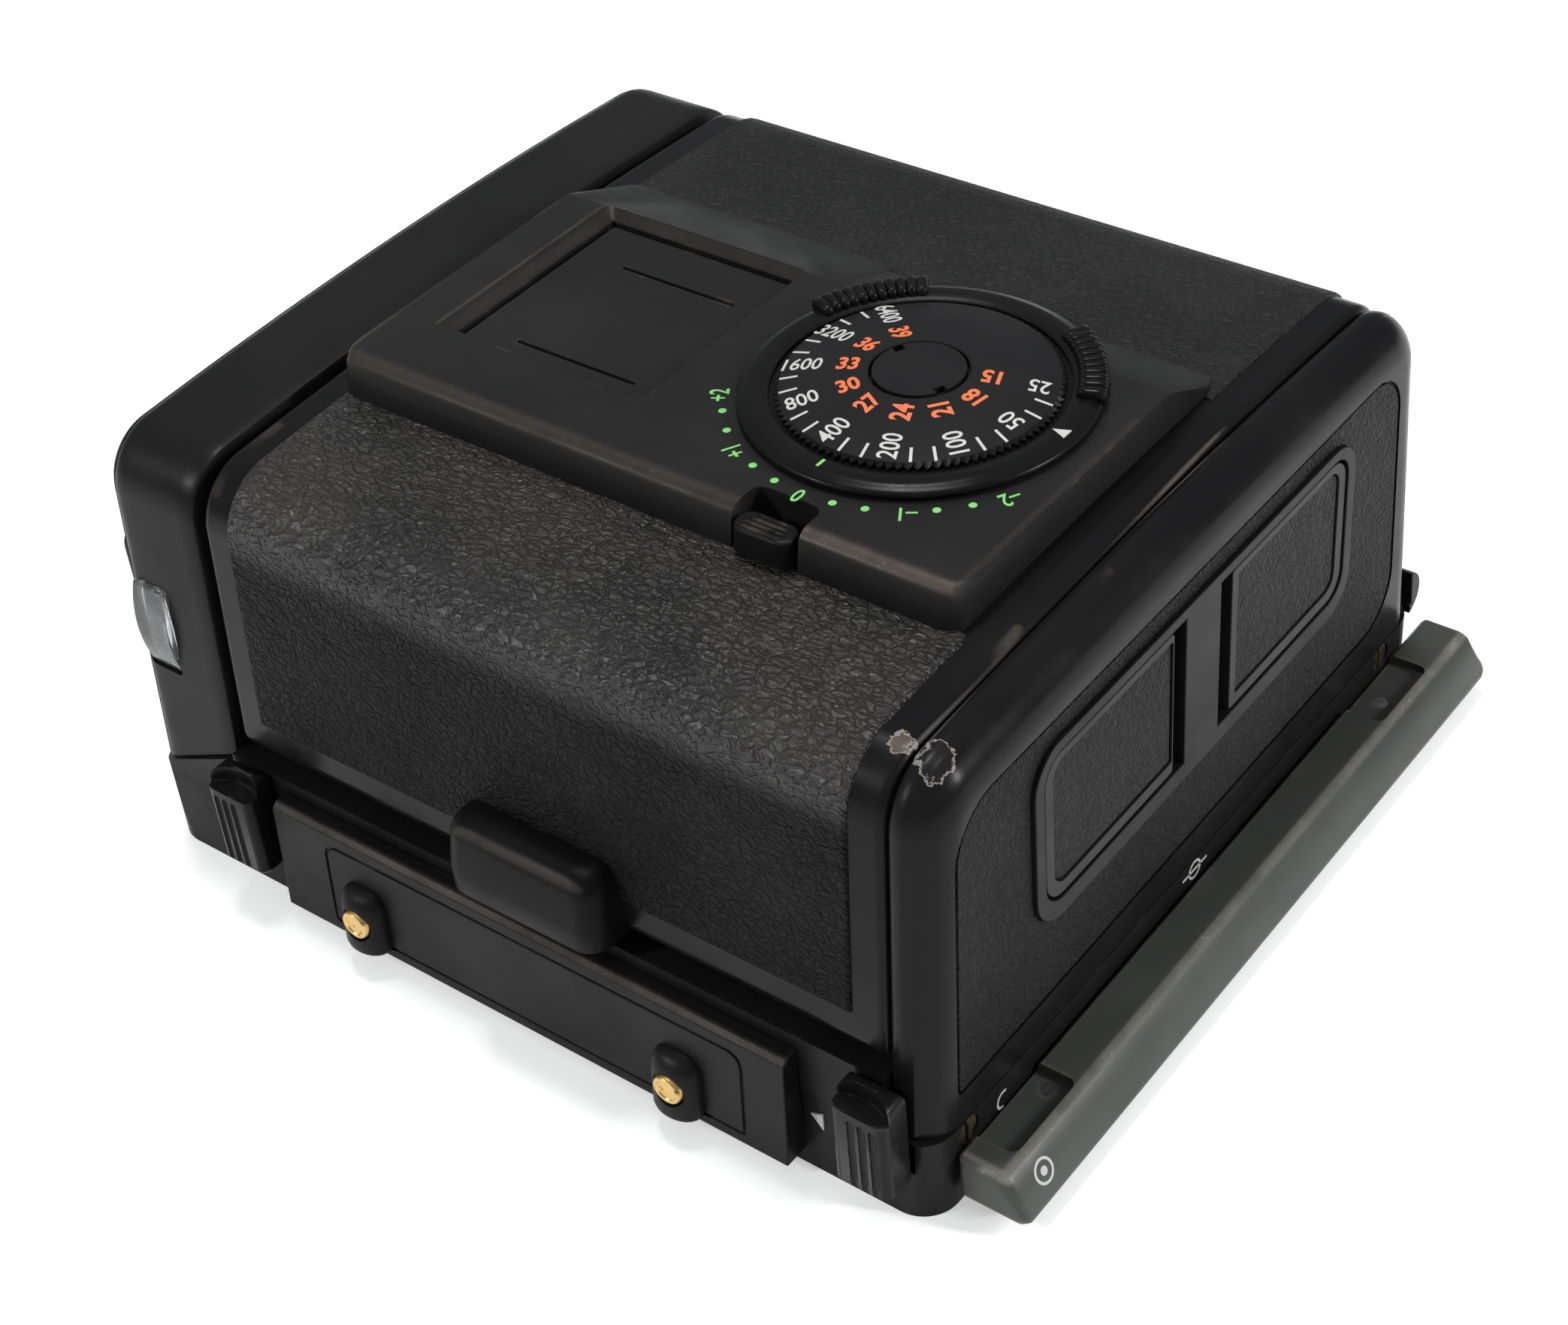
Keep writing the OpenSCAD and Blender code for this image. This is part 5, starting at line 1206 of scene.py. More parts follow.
make("lock_stem", slab(stem, "z", LOCK_BOTTOM + 0.1, LOCK_TOP - 0.5), lock_moulding, "dial_lock")


# ---------- Contact strip and its pins ----------
# A moulded strip on the front of the base has a thin engraved outline, a rubbed upper edge, and two
# half-round bosses. Each boss holds a gold plated contact, marked with dark spots.
STRIP_LOW, STRIP_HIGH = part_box("contact_strip")
STRIP_LEFT, STRIP_RIGHT = STRIP_LOW.x * 1000, STRIP_HIGH.x * 1000
STRIP_BOTTOM, STRIP_TOP = STRIP_LOW.z * 1000, STRIP_HIGH.z * 1000
STRIP_FACE = -44.8
STRIP_LEAN = 0.7
STRIP_BACK = -42.25
LINE_LEFT, LINE_RIGHT, LINE_LOW, LINE_HIGH = -20.6, 28.1, 2.5, 12.1
LINE_WIDTH, LINE_DEPTH = 0.3, 0.25
BOSS_FROM_LEFT, BOSS_SPACING = 11.0, 37.0
BOSS_RADIUS = 2.6
BOSS_TOP_Z, BOSS_LOW_Z = 8.9, 2.1
BOSS_STEPS = 16
CONTACT_Z = 5.6
CONTACT_RADIUS = 1.5
STRIP_BLACK = (0.007, 0.007, 0.0072, 1)
STRIP_GREY = (0.0105, 0.0105, 0.0106, 1)
# pale rubbed wear on the strip's upper edge, also painted as the sheen highlight on the guide block
STRIP_WEAR_AND_SHEEN = (0.05, 0.046, 0.04, 1)
GOLD_LIGHT = (0.80, 0.55, 0.22, 1)
GOLD_DARK = (0.62, 0.40, 0.14, 1)
GOLD_SPOT = (0.16, 0.08, 0.03, 1)


def strip_face(z):
    """The y of the strip's leaning face at height z."""
    return STRIP_FACE + STRIP_LEAN * (z - STRIP_BOTTOM) / (STRIP_TOP - STRIP_BOTTOM)


strip_edge = (strip_face(STRIP_TOP) + 0.3, STRIP_TOP - 0.15)
strip_moulding = satin("strip_moulding", STRIP_BLACK, STRIP_GREY, 0.4, wear=0.6, worn=STRIP_WEAR_AND_SHEEN,
                       wear_radius=0.0005,
                       lines=[((STRIP_LEFT, *strip_edge), (STRIP_RIGHT, *strip_edge), 0.7, 0.85, STRIP_WEAR_AND_SHEEN)])
strip_profile = [(strip_face(STRIP_BOTTOM), STRIP_BOTTOM), (strip_face(STRIP_TOP - 0.55), STRIP_TOP - 0.55),
                 (strip_face(STRIP_TOP) + 0.5, STRIP_TOP), (STRIP_BACK + 0.1, STRIP_TOP),
                 (STRIP_BACK, STRIP_BOTTOM)]
strip = make("contact_strip_moulding", slab(strip_profile, "x", STRIP_LEFT, STRIP_RIGHT), strip_moulding,
             "magazine", ["contact_strip"], edge=0.18, segments=2)


line_wide = rounded_outline(LINE_LEFT, LINE_RIGHT, LINE_LOW, LINE_HIGH, [0.6, 0.6, 1.6, 1.6], 6)
line_narrow = rounded_outline(LINE_LEFT + LINE_WIDTH, LINE_RIGHT - LINE_WIDTH, LINE_LOW + LINE_WIDTH,
                              LINE_HIGH - LINE_WIDTH, [0.4, 0.4, 1.3, 1.3], 6)
carve(strip, [hoop([[(a, strip_face(b) + into, b) for a, b in outline]
                    for outline, into in ((line_wide, -1), (line_wide, LINE_DEPTH),
                                          (line_narrow, LINE_DEPTH), (line_narrow, -1))])])


def boss(x):
    """A half-round boss, domed at the top and tapering into the strip."""
    rings = []
    for z, radius, out in ((BOSS_LOW_Z, BOSS_RADIUS - 0.5, 1.5),
                           (BOSS_LOW_Z + 0.25, BOSS_RADIUS - 0.15, 1.85),
                           (BOSS_LOW_Z + 0.7, BOSS_RADIUS, 1.95), (BOSS_TOP_Z - 1.9, BOSS_RADIUS, 1.85),
                           (BOSS_TOP_Z - 1.25, BOSS_RADIUS - 0.1, 1.65),
                           (BOSS_TOP_Z - 0.7, BOSS_RADIUS - 0.35, 1.35),
                           (BOSS_TOP_Z - 0.3, BOSS_RADIUS - 0.8, 0.95), (BOSS_TOP_Z, 1.1, 0.3)):
        ring = []
        for i in range(BOSS_STEPS + 1):
            a = math.pi + math.pi * i / BOSS_STEPS
            flat = math.copysign(abs(math.sin(a)) ** 0.8, math.sin(a))
            ring.append((x + radius * math.cos(a), strip_face(z) + out * flat, z))
        ring.append((x + radius, STRIP_BACK - 0.4, z))
        ring.append((x - radius, STRIP_BACK - 0.4, z))
        rings.append(ring)
    return loft(rings)


boss_places = [STRIP_LEFT + BOSS_FROM_LEFT, STRIP_LEFT + BOSS_FROM_LEFT + BOSS_SPACING]
bosses = make("contact_bosses", several([boss(x) for x in boss_places]), strip_moulding, "magazine",
              edge=0.15, segments=2, smooth=50)
carve(bosses, [slab(circle(x, CONTACT_Z, CONTACT_RADIUS + 0.25, 40), "y", -48, -45.9) for x in boss_places])
gold = metal("gold_plate", GOLD_LIGHT, GOLD_DARK, 0.3, scratch_scale=1400, spots=0.42, spot_colour=GOLD_SPOT)


def contact(x):
    """A gold plated pin end with a raised rim."""
    return loft([across(circle(x, CONTACT_Z, radius, 40), "y", y) for y, radius in (
        (-44, CONTACT_RADIUS), (-46.35, CONTACT_RADIUS), (-46.5, CONTACT_RADIUS - 0.12),
        (-46.5, CONTACT_RADIUS - 0.4), (-46.38, CONTACT_RADIUS - 0.52), (-46.38, 0.4), (-46.4, 0.1))])


make("contact_faces", several([contact(x) for x in boss_places]), gold, "magazine", ["contact_pins"],
     smooth=40)


# ---------- Guide block ----------
# A solid block with large soft edges stands on the ledge over the strip. A pale line along its upper
# front edge is a painted sheen highlight.
BLOCK_LOW, BLOCK_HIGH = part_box("guide_block")
BLOCK_LEFT, BLOCK_RIGHT = BLOCK_LOW.x * 1000, BLOCK_HIGH.x * 1000
BLOCK_FRONT, BLOCK_BACK = BLOCK_LOW.y * 1000, -39.0
BLOCK_BOTTOM, BLOCK_TOP = BLOCK_LOW.z * 1000, BLOCK_HIGH.z * 1000
BLOCK_ROUND = 2.0
BLOCK_BLACK = (0.0045, 0.0045, 0.0046, 1)
block_outline = rounded_outline(BLOCK_LEFT, BLOCK_RIGHT, BLOCK_FRONT + 0.05, BLOCK_BACK,
                                [2.3, 2.3, 0.3, 0.3], 8)


def shrunk(outline, middle, amount, shift=(0, 0)):
    """Moves each point of an outline towards the middle by amount, keeping the form's corners soft."""
    moved = []
    for a, b in outline:
        da, db = a - middle[0], b - middle[1]
        moved.append((middle[0] + math.copysign(max(abs(da) - amount, 0.05), da) + shift[0],
                      middle[1] + math.copysign(max(abs(db) - amount, 0.05), db) + shift[1]))
    return moved


block_middle = ((BLOCK_LEFT + BLOCK_RIGHT) / 2, -42.0)
block_rings = [across(shrunk(block_outline, block_middle, inset), "z", BLOCK_BOTTOM + up)
               for up, inset in ((0, 0.55), (0.25, 0.2), (0.6, 0.02), (3, 0.0))]
block_rings += [across(shrunk(block_outline, block_middle, 0.15 + inset, (0, 0.35)), "z", z)
                for z, inset in roundings(BLOCK_TOP, BLOCK_ROUND, 1)]
# a pale line painted along the upper front edge as a sheen highlight
block_edge = (BLOCK_FRONT + 0.7, BLOCK_TOP - 0.7)
block_sheen_line = ((BLOCK_LEFT + 1.8, *block_edge), (BLOCK_RIGHT - 1.5, *block_edge), 0.8, 0.9, STRIP_WEAR_AND_SHEEN)
block_moulding = satin("block_moulding", BLOCK_BLACK, STRIP_BLACK, 0.42, smear=0.06, specular=0.07,
                       lines=[block_sheen_line])
block = make("guide_block_moulding", loft(block_rings), block_moulding, "magazine",
             ["guide_block"], smooth=60)
wall_line = [(1.2 - wall_y(z), z) for z in (15, 26)]
carve(block, [slab(wall_line + [(-30, 26), (-30, 15)], "x", -20, 40)])


# ---------- Film plane mark ----------
# A circle with a line through it is printed in white on the base's end face, level with the film. A
# short arc is printed near the face's front corner.
MARK_Y, MARK_Z, MARK_RADIUS = -0.6, 7.5, 1.05
MARK_LINE, MARK_LENGTH, MARK_HALF = 0.24, 2.1, 0.12
ARC_Y, ARC_Z, ARC_RADIUS = -32.0, 6.3, 1.0
BASE_FACE = 46.0
MARK_IN, MARK_OUT = BASE_FACE - 0.1, BASE_FACE + 0.03

mark_ring = hoop([across([(MARK_Y + a, MARK_Z + b) for a, b in circle(0, 0, r, 40)], "x", x) for r, x in (
    (MARK_RADIUS, MARK_IN), (MARK_RADIUS, MARK_OUT),
    (MARK_RADIUS - MARK_LINE, MARK_OUT), (MARK_RADIUS - MARK_LINE, MARK_IN))])
mark_line = [(MARK_Y - MARK_LENGTH, MARK_Z - MARK_HALF), (MARK_Y + MARK_LENGTH, MARK_Z - MARK_HALF),
             (MARK_Y + MARK_LENGTH, MARK_Z + MARK_HALF), (MARK_Y - MARK_LENGTH, MARK_Z + MARK_HALF)]
make("film_plane_ring", mark_ring, white_ink, "magazine", smooth=5)
make("film_plane_line", slab(mark_line, "x", MARK_IN, MARK_OUT), white_ink, "magazine",
     smooth=5)
arc_line = []
for radius, sweep in ((ARC_RADIUS, range(60, 271, 15)), (ARC_RADIUS - 0.26, range(270, 59, -15))):
    arc_line += [(ARC_Y + radius * math.cos(math.radians(a)), ARC_Z + radius * math.sin(math.radians(a)))
                 for a in sweep]
make("slide_arc_mark", slab(arc_line, "x", MARK_IN, MARK_OUT), white_ink, "magazine",
     smooth=5)


# ---------- Release catches ----------
# Two ribbed catches beside the strip are pressed together along it to free the magazine. A small
# white triangle next to each shows which way it is pushed.
CATCH_BACK = -42.35
FLUTE_RADIUS, FLUTE_PLACES = 0.4, (2.2, 3.3, 4.4)
THUMB_RADIUS, THUMB_DEEP = 4.6, 1.6
TRIANGLE_LEFT, TRIANGLE_RIGHT = -28.4, 34.7
CATCH_BLACK = (0.006, 0.006, 0.0062, 1)
CATCH_GREY = (0.0095, 0.0095, 0.0097, 1)
CATCH_WORN = (0.1, 0.095, 0.088, 1)


def catch_block(low, high):
    """The catch before its flutes are cut: a block with soft upright corners and a rounded top."""
    left, right = low.x * 1000, high.x * 1000
    front, bottom, top = low.y * 1000, low.z * 1000, high.z * 1000
    outline = rounded_outline(left, right, front, CATCH_BACK, [0.9, 0.9, 0.2, 0.2], 6)
    middle = ((left + right) / 2, (front + CATCH_BACK) / 2)
    return loft([across(shrunk(outline, middle, inset), "z", z) for z, inset in (
        (bottom, 0.45), (bottom + 0.15, 0.2), (bottom + 0.45, 0.0), (top - 0.9, 0.0),
        (top - 0.55, 0.08), (top - 0.25, 0.28), (top - 0.07, 0.55), (top, 0.9))])


def flute(x, y, bottom, top):
    """An upright round groove with a domed upper end, used to cut between two ribs."""
    rings = [across(circle(x, y, FLUTE_RADIUS, 20), "z", bottom)]
    rings += [across(circle(x, y, FLUTE_RADIUS - inset, 20), "z", z)
              for z, inset in roundings(top + FLUTE_RADIUS, FLUTE_RADIUS, 1)[:-1]]
    return loft(rings)


catch_moulding = satin("catch_moulding", CATCH_BLACK, CATCH_GREY, 0.28, wear=0.6, worn=CATCH_WORN,
                       wear_radius=0.0004)
triangles = []
for node, body, direction in (("catch_left", "left_release", 1), ("catch_right", "right_release", -1)):
    catch_low, catch_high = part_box(node)
    front, bottom, top = catch_low.y * 1000, catch_low.z * 1000, catch_high.z * 1000
    inner = catch_high.x * 1000 if direction > 0 else catch_low.x * 1000
    catch = make(node + "_moulding", catch_block(catch_low, catch_high), catch_moulding, body,
                 [node], smooth=45)
    cuts = [flute(inner - direction * place, front - 0.06, bottom - 1, top - 2.7) for place in FLUTE_PLACES]
    thumb_x = inner - direction * 2.4
    cuts.append(slab(circle(thumb_x, front - 2.5, THUMB_RADIUS, 90), "z", top - THUMB_DEEP, top + 1))
    carve(catch, cuts)
    round_edges(catch, 0.1, 2)
    ridge = rounded_lump((thumb_x, front + 2.26, top - 0.03), (1, 0), (1.3, 0.14, 0.1))
    make(node + "_ridge", ridge, catch_moulding, body, smooth=60)
    stem_x = (catch_low.x + catch_high.x) * 500
    guide = rounded_outline(stem_x - 1.3, stem_x + 1.3, -42.6, catch_high.y * 1000 - 0.1, 0.2, 2)
    make(node + "_stem", slab(guide, "z", 7.5, 12.0), catch_moulding, body)
    base_x = TRIANGLE_LEFT if direction > 0 else TRIANGLE_RIGHT
    pointer = [(base_x, 5.0), (base_x, 6.9), (base_x + direction * 1.3, 6.5)]
    triangles.append(slab(pointer, "y", -42.26, -42.0))
make("release_triangles", several(triangles), white_ink, "magazine", smooth=5)


# ---------- End cover ----------
# The insert's outer end is a deep pressed cover with large polished edges. The latch pocket is sunk
# in its face, and knocks have chipped the paint off its upper front corner.
COVER_LEFT, COVER_RIGHT = 41.5, 46.0
COVER_EDGE = 4.0
COVER_INSIDE = 43.3
COVER_LOW_Z = 9.0
POCKET_FLOOR = 44.0
POCKET = (-25.2, 24.6, 22.8, 38.6)
HOOK_ROOM = 2
COVER_PRIMER = (0.012, 0.011, 0.0105, 1)
COVER_CHIPS = [(43.3, -35.2, 46.0, 1.95), (43.2, -38.3, 42.9, 0.4)]
# the brown line is rubbed wear near the chip; the grey line is a painted highlight along the cover's left top
# edge
COVER_RUBS_AND_HIGHLIGHTS = [((42.9, -37.0, 43.0), (42.9, -10.0, 46.4), 0.6, 0.45, WORN_BROWN),
              ((41.7, -35.0, 45.6), (41.7, 12.0, 46.9), 0.3, 0.8, HIGHLIGHT_GREY)]
cover_paint = paint("cover_paint", 0.25, COVER_CHIPS, 0.3, under=COVER_PRIMER, lines=COVER_RUBS_AND_HIGHLIGHTS)

cover_rows = [(COVER_LEFT + along, inset)
              for along, inset in ((0, 0.55), (0.12, 0.35), (0.4, 0.2), (0.8, 0.14))]
cover_rows += [(x, max(inset, 0.12)) for x, inset in roundings(COVER_RIGHT, COVER_EDGE, 1, 12)[1:]]
cover_shell = end_shell(cover_rows, COVER_INSIDE, lambda x: COVER_LOW_Z, lambda x: COVER_LOW_Z)
cover = make("end_cover_shell", cover_shell, cover_paint, "film_insert", ["end_cover"])
pocket = slab(rounded_outline(*POCKET, 2.6), "x", POCKET_FLOOR, 47)
hook_slots = []
for hook in ("latch_hook_front", "latch_hook_back"):
    hook_low, hook_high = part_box(hook)
    hook_slot = rounded_outline(hook_low.y * 1000 - HOOK_ROOM, hook_high.y * 1000 + HOOK_ROOM, 34.6,
                                POCKET[3] - 0.6, 0.3, 2)
    hook_slots.append(slab(hook_slot, "x", 40, 47))


# ---------- Leather on the end cover ----------
# A fine-grained panel of the same leatherette is glued into a shallow recess in the cover's face. It is
# cut out round the latch.
PANEL_OUT = COVER_RIGHT - 0.06
TRIM = (-26.6, 26.0, 20.75, 39.75)
TRIM_CORNER = 4.0
panel_hide = leather("panel_hide", slant=82.0, depth=0.7, stretch=(0.45, 1.1, 1.2), shine=0.12)


def panel_outline(grow=0.0, steps=8):
    """The panel's edge as (y, z): sides that lean with the cover, and a square lower front corner."""
    corners = [(-38.1, 12.5, 0.5), (36.1, 12.5, 5.0), (34.7, 41.7, 5.0), (-36.6, 41.7, 5.2)]
    line = []
    for k, (y, z, radius) in enumerate(corners):
        tip = Vector((y, z))
        before = (Vector(corners[k - 1][:2]) - tip).normalized()
        after = (Vector(corners[(k + 1) % 4][:2]) - tip).normalized()
        half = before.angle(after) / 2
        middle = tip + (before + after).normalized() * (radius / math.sin(half))
        start = tip + before * (radius / math.tan(half)) - middle
        end = tip + after * (radius / math.tan(half)) - middle
        sweep = start.angle_signed(end)
        for i in range(steps + 1):
            a = math.atan2(start.y, start.x) - sweep * i / steps
            line.append((middle.x + (radius - grow) * math.cos(a), middle.y + (radius - grow) * math.sin(a)))
    return line


carve(cover, [pocket, slab(panel_outline(-0.2), "x", 45.6, 47)] + hook_slots)
panel = make("end_leather_panel", slab(panel_outline(), "x", 45.4, PANEL_OUT, panel_outline(0.12)),
             panel_hide, "film_insert", ["end_leather"])
trim_opening = rounded_outline(TRIM[0] - 0.1, TRIM[1] + 0.1, TRIM[2] - 0.1, TRIM[3] + 0.1, TRIM_CORNER)
carve(panel, [slab(trim_opening, "x", 40, 50)])


# ---------- Latch trim ----------
# A moulded frame lines the latch pocket. Its middle bar divides the two squeeze buttons.
TRIM_IN, TRIM_OUT = 45.3, 46.4
TRIM_SIDE, TRIM_ABOVE, TRIM_BELOW = 1.35, 1.1, 1.95
TRIM_BAR = (-3.5, 2.2)
TRIM_BLACK = (0.0085, 0.0085, 0.0087, 1)
TRIM_GREY = (0.0125, 0.0125, 0.0127, 1)
trim_moulding = satin("trim_moulding", TRIM_BLACK, TRIM_GREY, 0.4, grain=0.06, smear=0.05)
trim_outer = rounded_outline(*TRIM, TRIM_CORNER - 0.1, 8)
trim_inner = rounded_outline(TRIM[0] + TRIM_SIDE, TRIM[1] - TRIM_SIDE, TRIM[2] + TRIM_BELOW,
                             TRIM[3] - TRIM_ABOVE, TRIM_CORNER - TRIM_SIDE, 8)
trim_frame = hoop([across(trim_outer, "x", TRIM_IN), across(trim_outer, "x", TRIM_OUT),
                   across(trim_inner, "x", TRIM_OUT), across(trim_inner, "x", TRIM_IN)])
make("latch_trim_frame", trim_frame, trim_moulding, "film_insert", ["latch_trim"],
     edge=0.12, segments=2)
bar = rounded_outline(*TRIM_BAR, TRIM[2] + TRIM_BELOW - 0.2, TRIM[3] - TRIM_ABOVE + 0.2, 0.2, 2)
make("latch_bar", slab(bar, "x", POCKET_FLOOR + 0.05, TRIM_OUT), trim_moulding, "film_insert",
     edge=0.12, segments=2)


# ---------- Squeeze buttons ----------
# Two pebbled buttons are squeezed towards the bar to draw the latch hooks. Each has a smooth rim round
# a pebbled field.
BUTTON_OUT = 46.25
BUTTON_RIM = 1.25
BUTTON_SINK, BUTTON_GAP = 0.16, 0.16
BUTTON_TOP, BUTTON_BOTTOM = 38.35, 22.95
RIM_BLACK = (0.013, 0.013, 0.0135, 1)
RIM_GREY = (0.018, 0.018, 0.0185, 1)
rim_moulding = satin("rim_moulding", RIM_BLACK, RIM_GREY, 0.34, smear=0.05)
pebble = leather("button_pebble", cell=1.4, slant=82.0, depth=0.8, stretch=(0.5, 1.1, 1.2), shine=0.18)
for node, body, y0, y1, bar_side in (
        ("squeeze_button_front", "front_squeeze_button", TRIM[0] + TRIM_SIDE + 0.22, -5.25, 1),
        ("squeeze_button_back", "back_squeeze_button", 4.3, TRIM[1] - TRIM_SIDE - 0.22, -1)):
    far, near = TRIM_CORNER - TRIM_SIDE - 0.1, 0.4
    corners = [far, near, near, far] if bar_side > 0 else [near, far, far, near]
    bar_rim = 0.15 if bar_side > 0 else 1.05
    left_rim, right_rim = (BUTTON_RIM, bar_rim) if bar_side > 0 else (bar_rim, BUTTON_RIM)
    outer = rounded_outline(y0, y1, BUTTON_BOTTOM, BUTTON_TOP, corners, 6)
    inner, field = [rounded_outline(y0 + left_rim + gap, y1 - right_rim - gap,
                                    BUTTON_BOTTOM + BUTTON_RIM + gap, BUTTON_TOP - 0.85 - gap,
                                    [max(c - 0.9 - gap, 0.25) for c in corners], 6)
                    for gap in (0, BUTTON_GAP)]
    make(node + "_rim", loft([across(outer, "x", 44.1), across(outer, "x", BUTTON_OUT),
                              across(inner, "x", BUTTON_OUT), across(inner, "x", BUTTON_OUT - 0.5)]),
         rim_moulding, body, [node], edge=0.1, segments=2)
    make(node + "_field", slab(field, "x", BUTTON_OUT - 0.7, BUTTON_OUT - BUTTON_SINK), pebble, body,
         edge=0.1, segments=2)
hook_steel = metal("hook_steel", STEEL_LIGHT, STEEL_DARK, 0.3)
for hook in ("latch_hook_front", "latch_hook_back"):
    finish(hook, hook_steel, 0.1)


# ---------- Film insert ----------
# The insert's frame carries the spools, the steel rollers and the pressure plate on its leaf springs.
# Its parts stay inside the housing until the end cover is drawn out.
LEAF_START, LEAF_END, LEAF_HALF = 2.0, 20.8, 2.9
LEAF_FLAT, LEAF_SLOPE = 0.2, 0.65
LEAF_THICKNESS, LEAF_GAP = 0.22, 0.05
LEAF_STEPS = 40
INSERT_BLACK, INSERT_GREY = (0.014, 0.014, 0.0155, 1), (0.021, 0.021, 0.023, 1)
SPOOL_BLACK, SPOOL_GREY = (0.009, 0.009, 0.0095, 1), (0.015, 0.015, 0.0155, 1)
ROLLER_LIGHT, ROLLER_DARK = (0.62, 0.62, 0.61, 1), (0.45, 0.45, 0.45, 1)
LEAF_LIGHT, LEAF_BLUE = (0.56, 0.56, 0.55, 1), (0.36, 0.37, 0.4, 1)
ENAMEL_BLACK, ENAMEL_GREY = (0.008, 0.008, 0.008, 1), (0.013, 0.013, 0.013, 1)
insert_moulding = satin("insert_moulding", INSERT_BLACK, INSERT_GREY, 0.46)
spool_moulding = satin("spool_moulding", SPOOL_BLACK, SPOOL_GREY, 0.4)
roller_steel = metal("roller_steel", ROLLER_LIGHT, ROLLER_DARK, 0.26, (6, 1, 1))
leaf_steel = metal("leaf_steel", LEAF_LIGHT, LEAF_BLUE, 0.3, (1, 5, 1))
plate_enamel = satin("plate_enamel", ENAMEL_BLACK, ENAMEL_GREY, 0.5)
for node, material, edge in (("insert_frame", insert_moulding, 0.25), ("insert_bridge", insert_moulding, 0.2),
                             ("supply_spool", spool_moulding, 0.15), ("takeup_spool", spool_moulding, 0.15),
                             ("takeup_shaft", turned_steel, 0), ("spool_pins", turned_steel, 0),
                             ("film_roller_supply", roller_steel, 0), ("film_roller_takeup", roller_steel, 0),
                             ("roller_pins", turned_steel, 0), ("pressure_plate", plate_enamel, 0.2)):
    finish(node, material, edge)


def leaf_spring(direction, high, low):
    """A thin strip bent in an S, from the bridge above the plate down to the plate's back."""
    upper, lower = [], []
    for i in range(LEAF_STEPS + 1):
        run = i / LEAF_STEPS
        bend = min(1.0, max(0.0, (run - LEAF_FLAT) / LEAF_SLOPE))
        height = high - (high - low) * bend * bend * (3 - 2 * bend)
        place = direction * (LEAF_START + (LEAF_END - LEAF_START) * run)
        upper.append((place, height))
        lower.append((place, height - LEAF_THICKNESS))
    return slab(upper + lower[::-1], "y", -LEAF_HALF, LEAF_HALF)


SPRING_LOW, SPRING_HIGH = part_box("pressure_springs")
leaf_top = SPRING_HIGH.z * 1000 - LEAF_GAP
leaf_bottom = SPRING_LOW.z * 1000 + LEAF_THICKNESS + LEAF_GAP
leaves = several([leaf_spring(direction, leaf_top, leaf_bottom) for direction in (1, -1)])
springs = make("pressure_leaf_springs", leaves, leaf_steel, "film_insert",
               ["pressure_springs"], smooth=60)
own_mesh(springs)


# ---------- Dark slide ----------
# The dark slide is a rolled steel blade with a bar across its end. The bar is painted grey-green, its
# edges are rubbed pale, and two finger pockets in its top hold the screws of the blade.
HANDLE_LOW, HANDLE_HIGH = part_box("dark_slide_handle")
HANDLE_LEFT, HANDLE_RIGHT = HANDLE_LOW.x * 1000, HANDLE_HIGH.x * 1000
HANDLE_FRONT, HANDLE_BACK = HANDLE_LOW.y * 1000, HANDLE_HIGH.y * 1000
HANDLE_BOTTOM, HANDLE_TOP = HANDLE_LOW.z * 1000, HANDLE_HIGH.z * 1000
HANDLE_FLAT = 4.5
HANDLE_END = 0.9
POCKET_LENGTH, POCKET_DEEP = 9.6, 0.9
POCKET_Y = 31.9
SCREW_HOLE = 0.8
SIGHT_Y, SIGHT_X, SIGHT_RADIUS = -35.4, 52.2, 1.2
SIGHT_LINE, SIGHT_DOT = 0.26, 0.42
HANDLE_GREEN = (0.046, 0.0485, 0.042, 1)
HANDLE_PALE = (0.066, 0.0695, 0.06, 1)
HANDLE_RUBBED = (0.2, 0.195, 0.165, 1)
BLADE_LIGHT, BLADE_DARK = (0.5, 0.5, 0.49, 1), (0.36, 0.36, 0.36, 1)
handle_rubs = [((HANDLE_LEFT + HANDLE_FLAT, HANDLE_FRONT, HANDLE_TOP),
                (HANDLE_LEFT + HANDLE_FLAT, HANDLE_BACK, HANDLE_TOP), 0.8, 0.7, HANDLE_RUBBED),
               ((HANDLE_LEFT, HANDLE_FRONT + 0.5, HANDLE_TOP),
                (HANDLE_RIGHT, HANDLE_FRONT + 0.5, HANDLE_TOP - 0.3), 0.8, 0.9, HANDLE_RUBBED)]
handle_paint = satin("handle_enamel", HANDLE_GREEN, HANDLE_PALE, 0.42, grain=0.14, wear=0.6,
                     worn=HANDLE_RUBBED, wear_radius=0.0006, smear=0.06, specular=0.3, lines=handle_rubs)
handle_section = [(HANDLE_LEFT, HANDLE_BOTTOM + 0.3), (HANDLE_LEFT + 0.3, HANDLE_BOTTOM),
                  (HANDLE_RIGHT - 0.7, HANDLE_BOTTOM), (HANDLE_RIGHT - 0.1, HANDLE_BOTTOM + 0.5),
                  (HANDLE_RIGHT - 0.05, HANDLE_BOTTOM + 1.1),
                  (HANDLE_LEFT + HANDLE_FLAT + 0.5, HANDLE_TOP - 0.4),
                  (HANDLE_LEFT + HANDLE_FLAT, HANDLE_TOP - 0.1),
                  (HANDLE_LEFT + HANDLE_FLAT - 0.5, HANDLE_TOP),
                  (HANDLE_LEFT + 0.3, HANDLE_TOP), (HANDLE_LEFT, HANDLE_TOP - 0.3)]
handle_middle = ((HANDLE_LEFT + HANDLE_RIGHT) / 2, (HANDLE_BOTTOM + HANDLE_TOP) / 2)
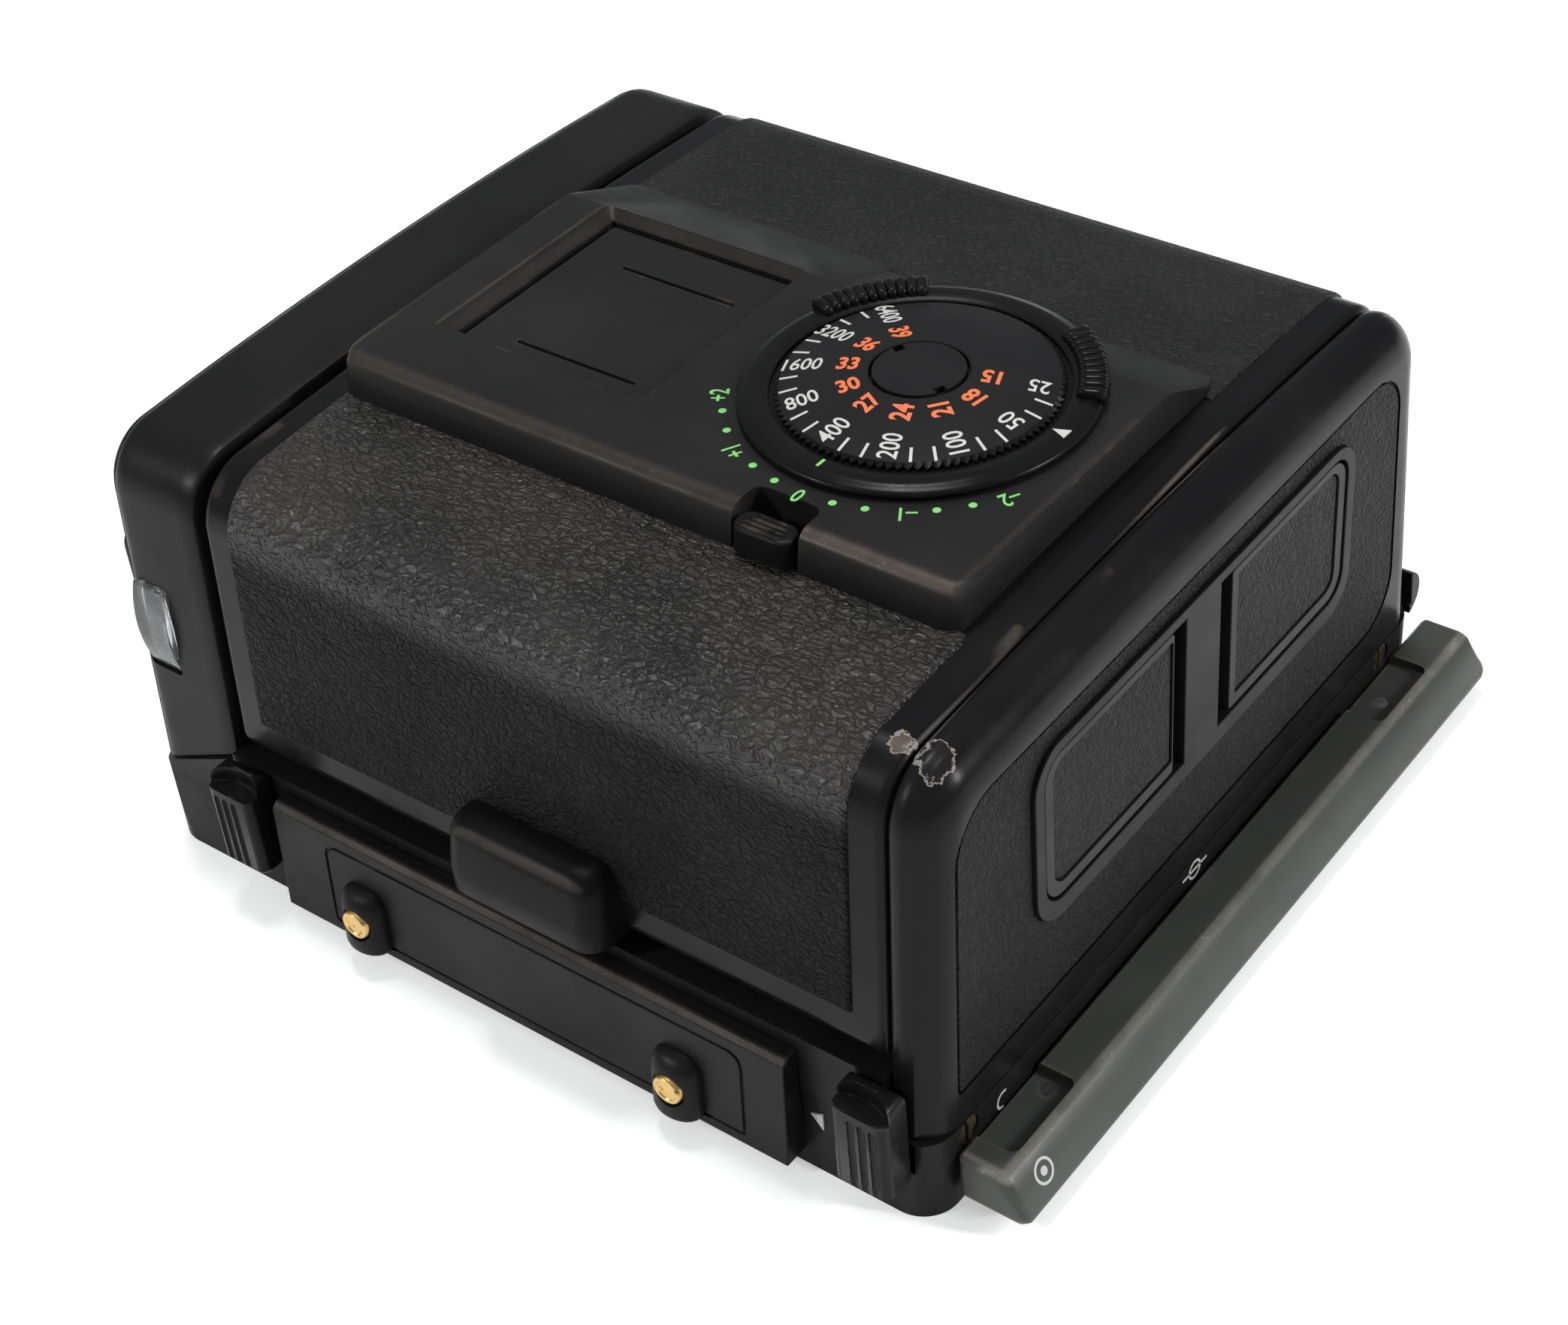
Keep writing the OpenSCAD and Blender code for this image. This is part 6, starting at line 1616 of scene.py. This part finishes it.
handle_ends = roundings(HANDLE_FRONT, HANDLE_END, -1)[::-1] + roundings(HANDLE_BACK, HANDLE_END, 1)
handle_rings = [across(shrunk(handle_section, handle_middle, inset), "y", y) for y, inset in handle_ends]
handle = make("dark_slide_bar", loft(handle_rings), handle_paint, "dark_slide",
              ["dark_slide_handle"], smooth=30)
handle_cuts = []
rivet_low, rivet_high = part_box("handle_rivets")
rivet_x = (rivet_low.x + rivet_high.x) * 500
for middle_y in (-POCKET_Y, POCKET_Y):
    finger = rounded_outline(HANDLE_LEFT - 2, HANDLE_LEFT + HANDLE_FLAT - 0.5, middle_y - POCKET_LENGTH / 2,
                             middle_y + POCKET_LENGTH / 2, [0.1, 0.9, 0.9, 0.1], 5)
    handle_cuts.append(slab(finger, "z", HANDLE_TOP - POCKET_DEEP, HANDLE_TOP + 1))
for screw_y in (rivet_low.y * 1000 + SCREW_HOLE, rivet_high.y * 1000 - SCREW_HOLE):
    handle_cuts.append(slab(circle(rivet_x, screw_y, SCREW_HOLE, 24), "z", HANDLE_TOP - POCKET_DEEP - 0.5,
                            HANDLE_TOP))
carve(handle, handle_cuts)
finish("handle_rivets", turned_steel)
slope_top, slope_low = handle_section[5], handle_section[4]
slope = Vector((slope_low[0] - slope_top[0], 0, slope_low[1] - slope_top[1])).normalized()
slope_out = Vector((-slope.z, 0, slope.x))


def on_slope(outline, height):
    middle = Vector((SIGHT_X, SIGHT_Y, slope_top[1] + (SIGHT_X - slope_top[0]) * slope.z / slope.x))
    return [tuple(middle + slope * a + Vector((0, b, 0)) + slope_out * height) for a, b in outline]


sight = []
for outer_radius, inner_radius in ((SIGHT_RADIUS, SIGHT_RADIUS - SIGHT_LINE), (SIGHT_DOT, 0.02)):
    sight.append(hoop([on_slope(circle(0, 0, r, 40), h) for r, h in (
        (outer_radius, -0.05), (outer_radius, 0.03), (inner_radius, 0.03), (inner_radius, -0.05))]))
make("handle_sight", several(sight), white_ink, "dark_slide", smooth=5)
finish("dark_slide_blade", metal("rolled_steel", BLADE_LIGHT, BLADE_DARK, 0.26, (1, 9, 1)))
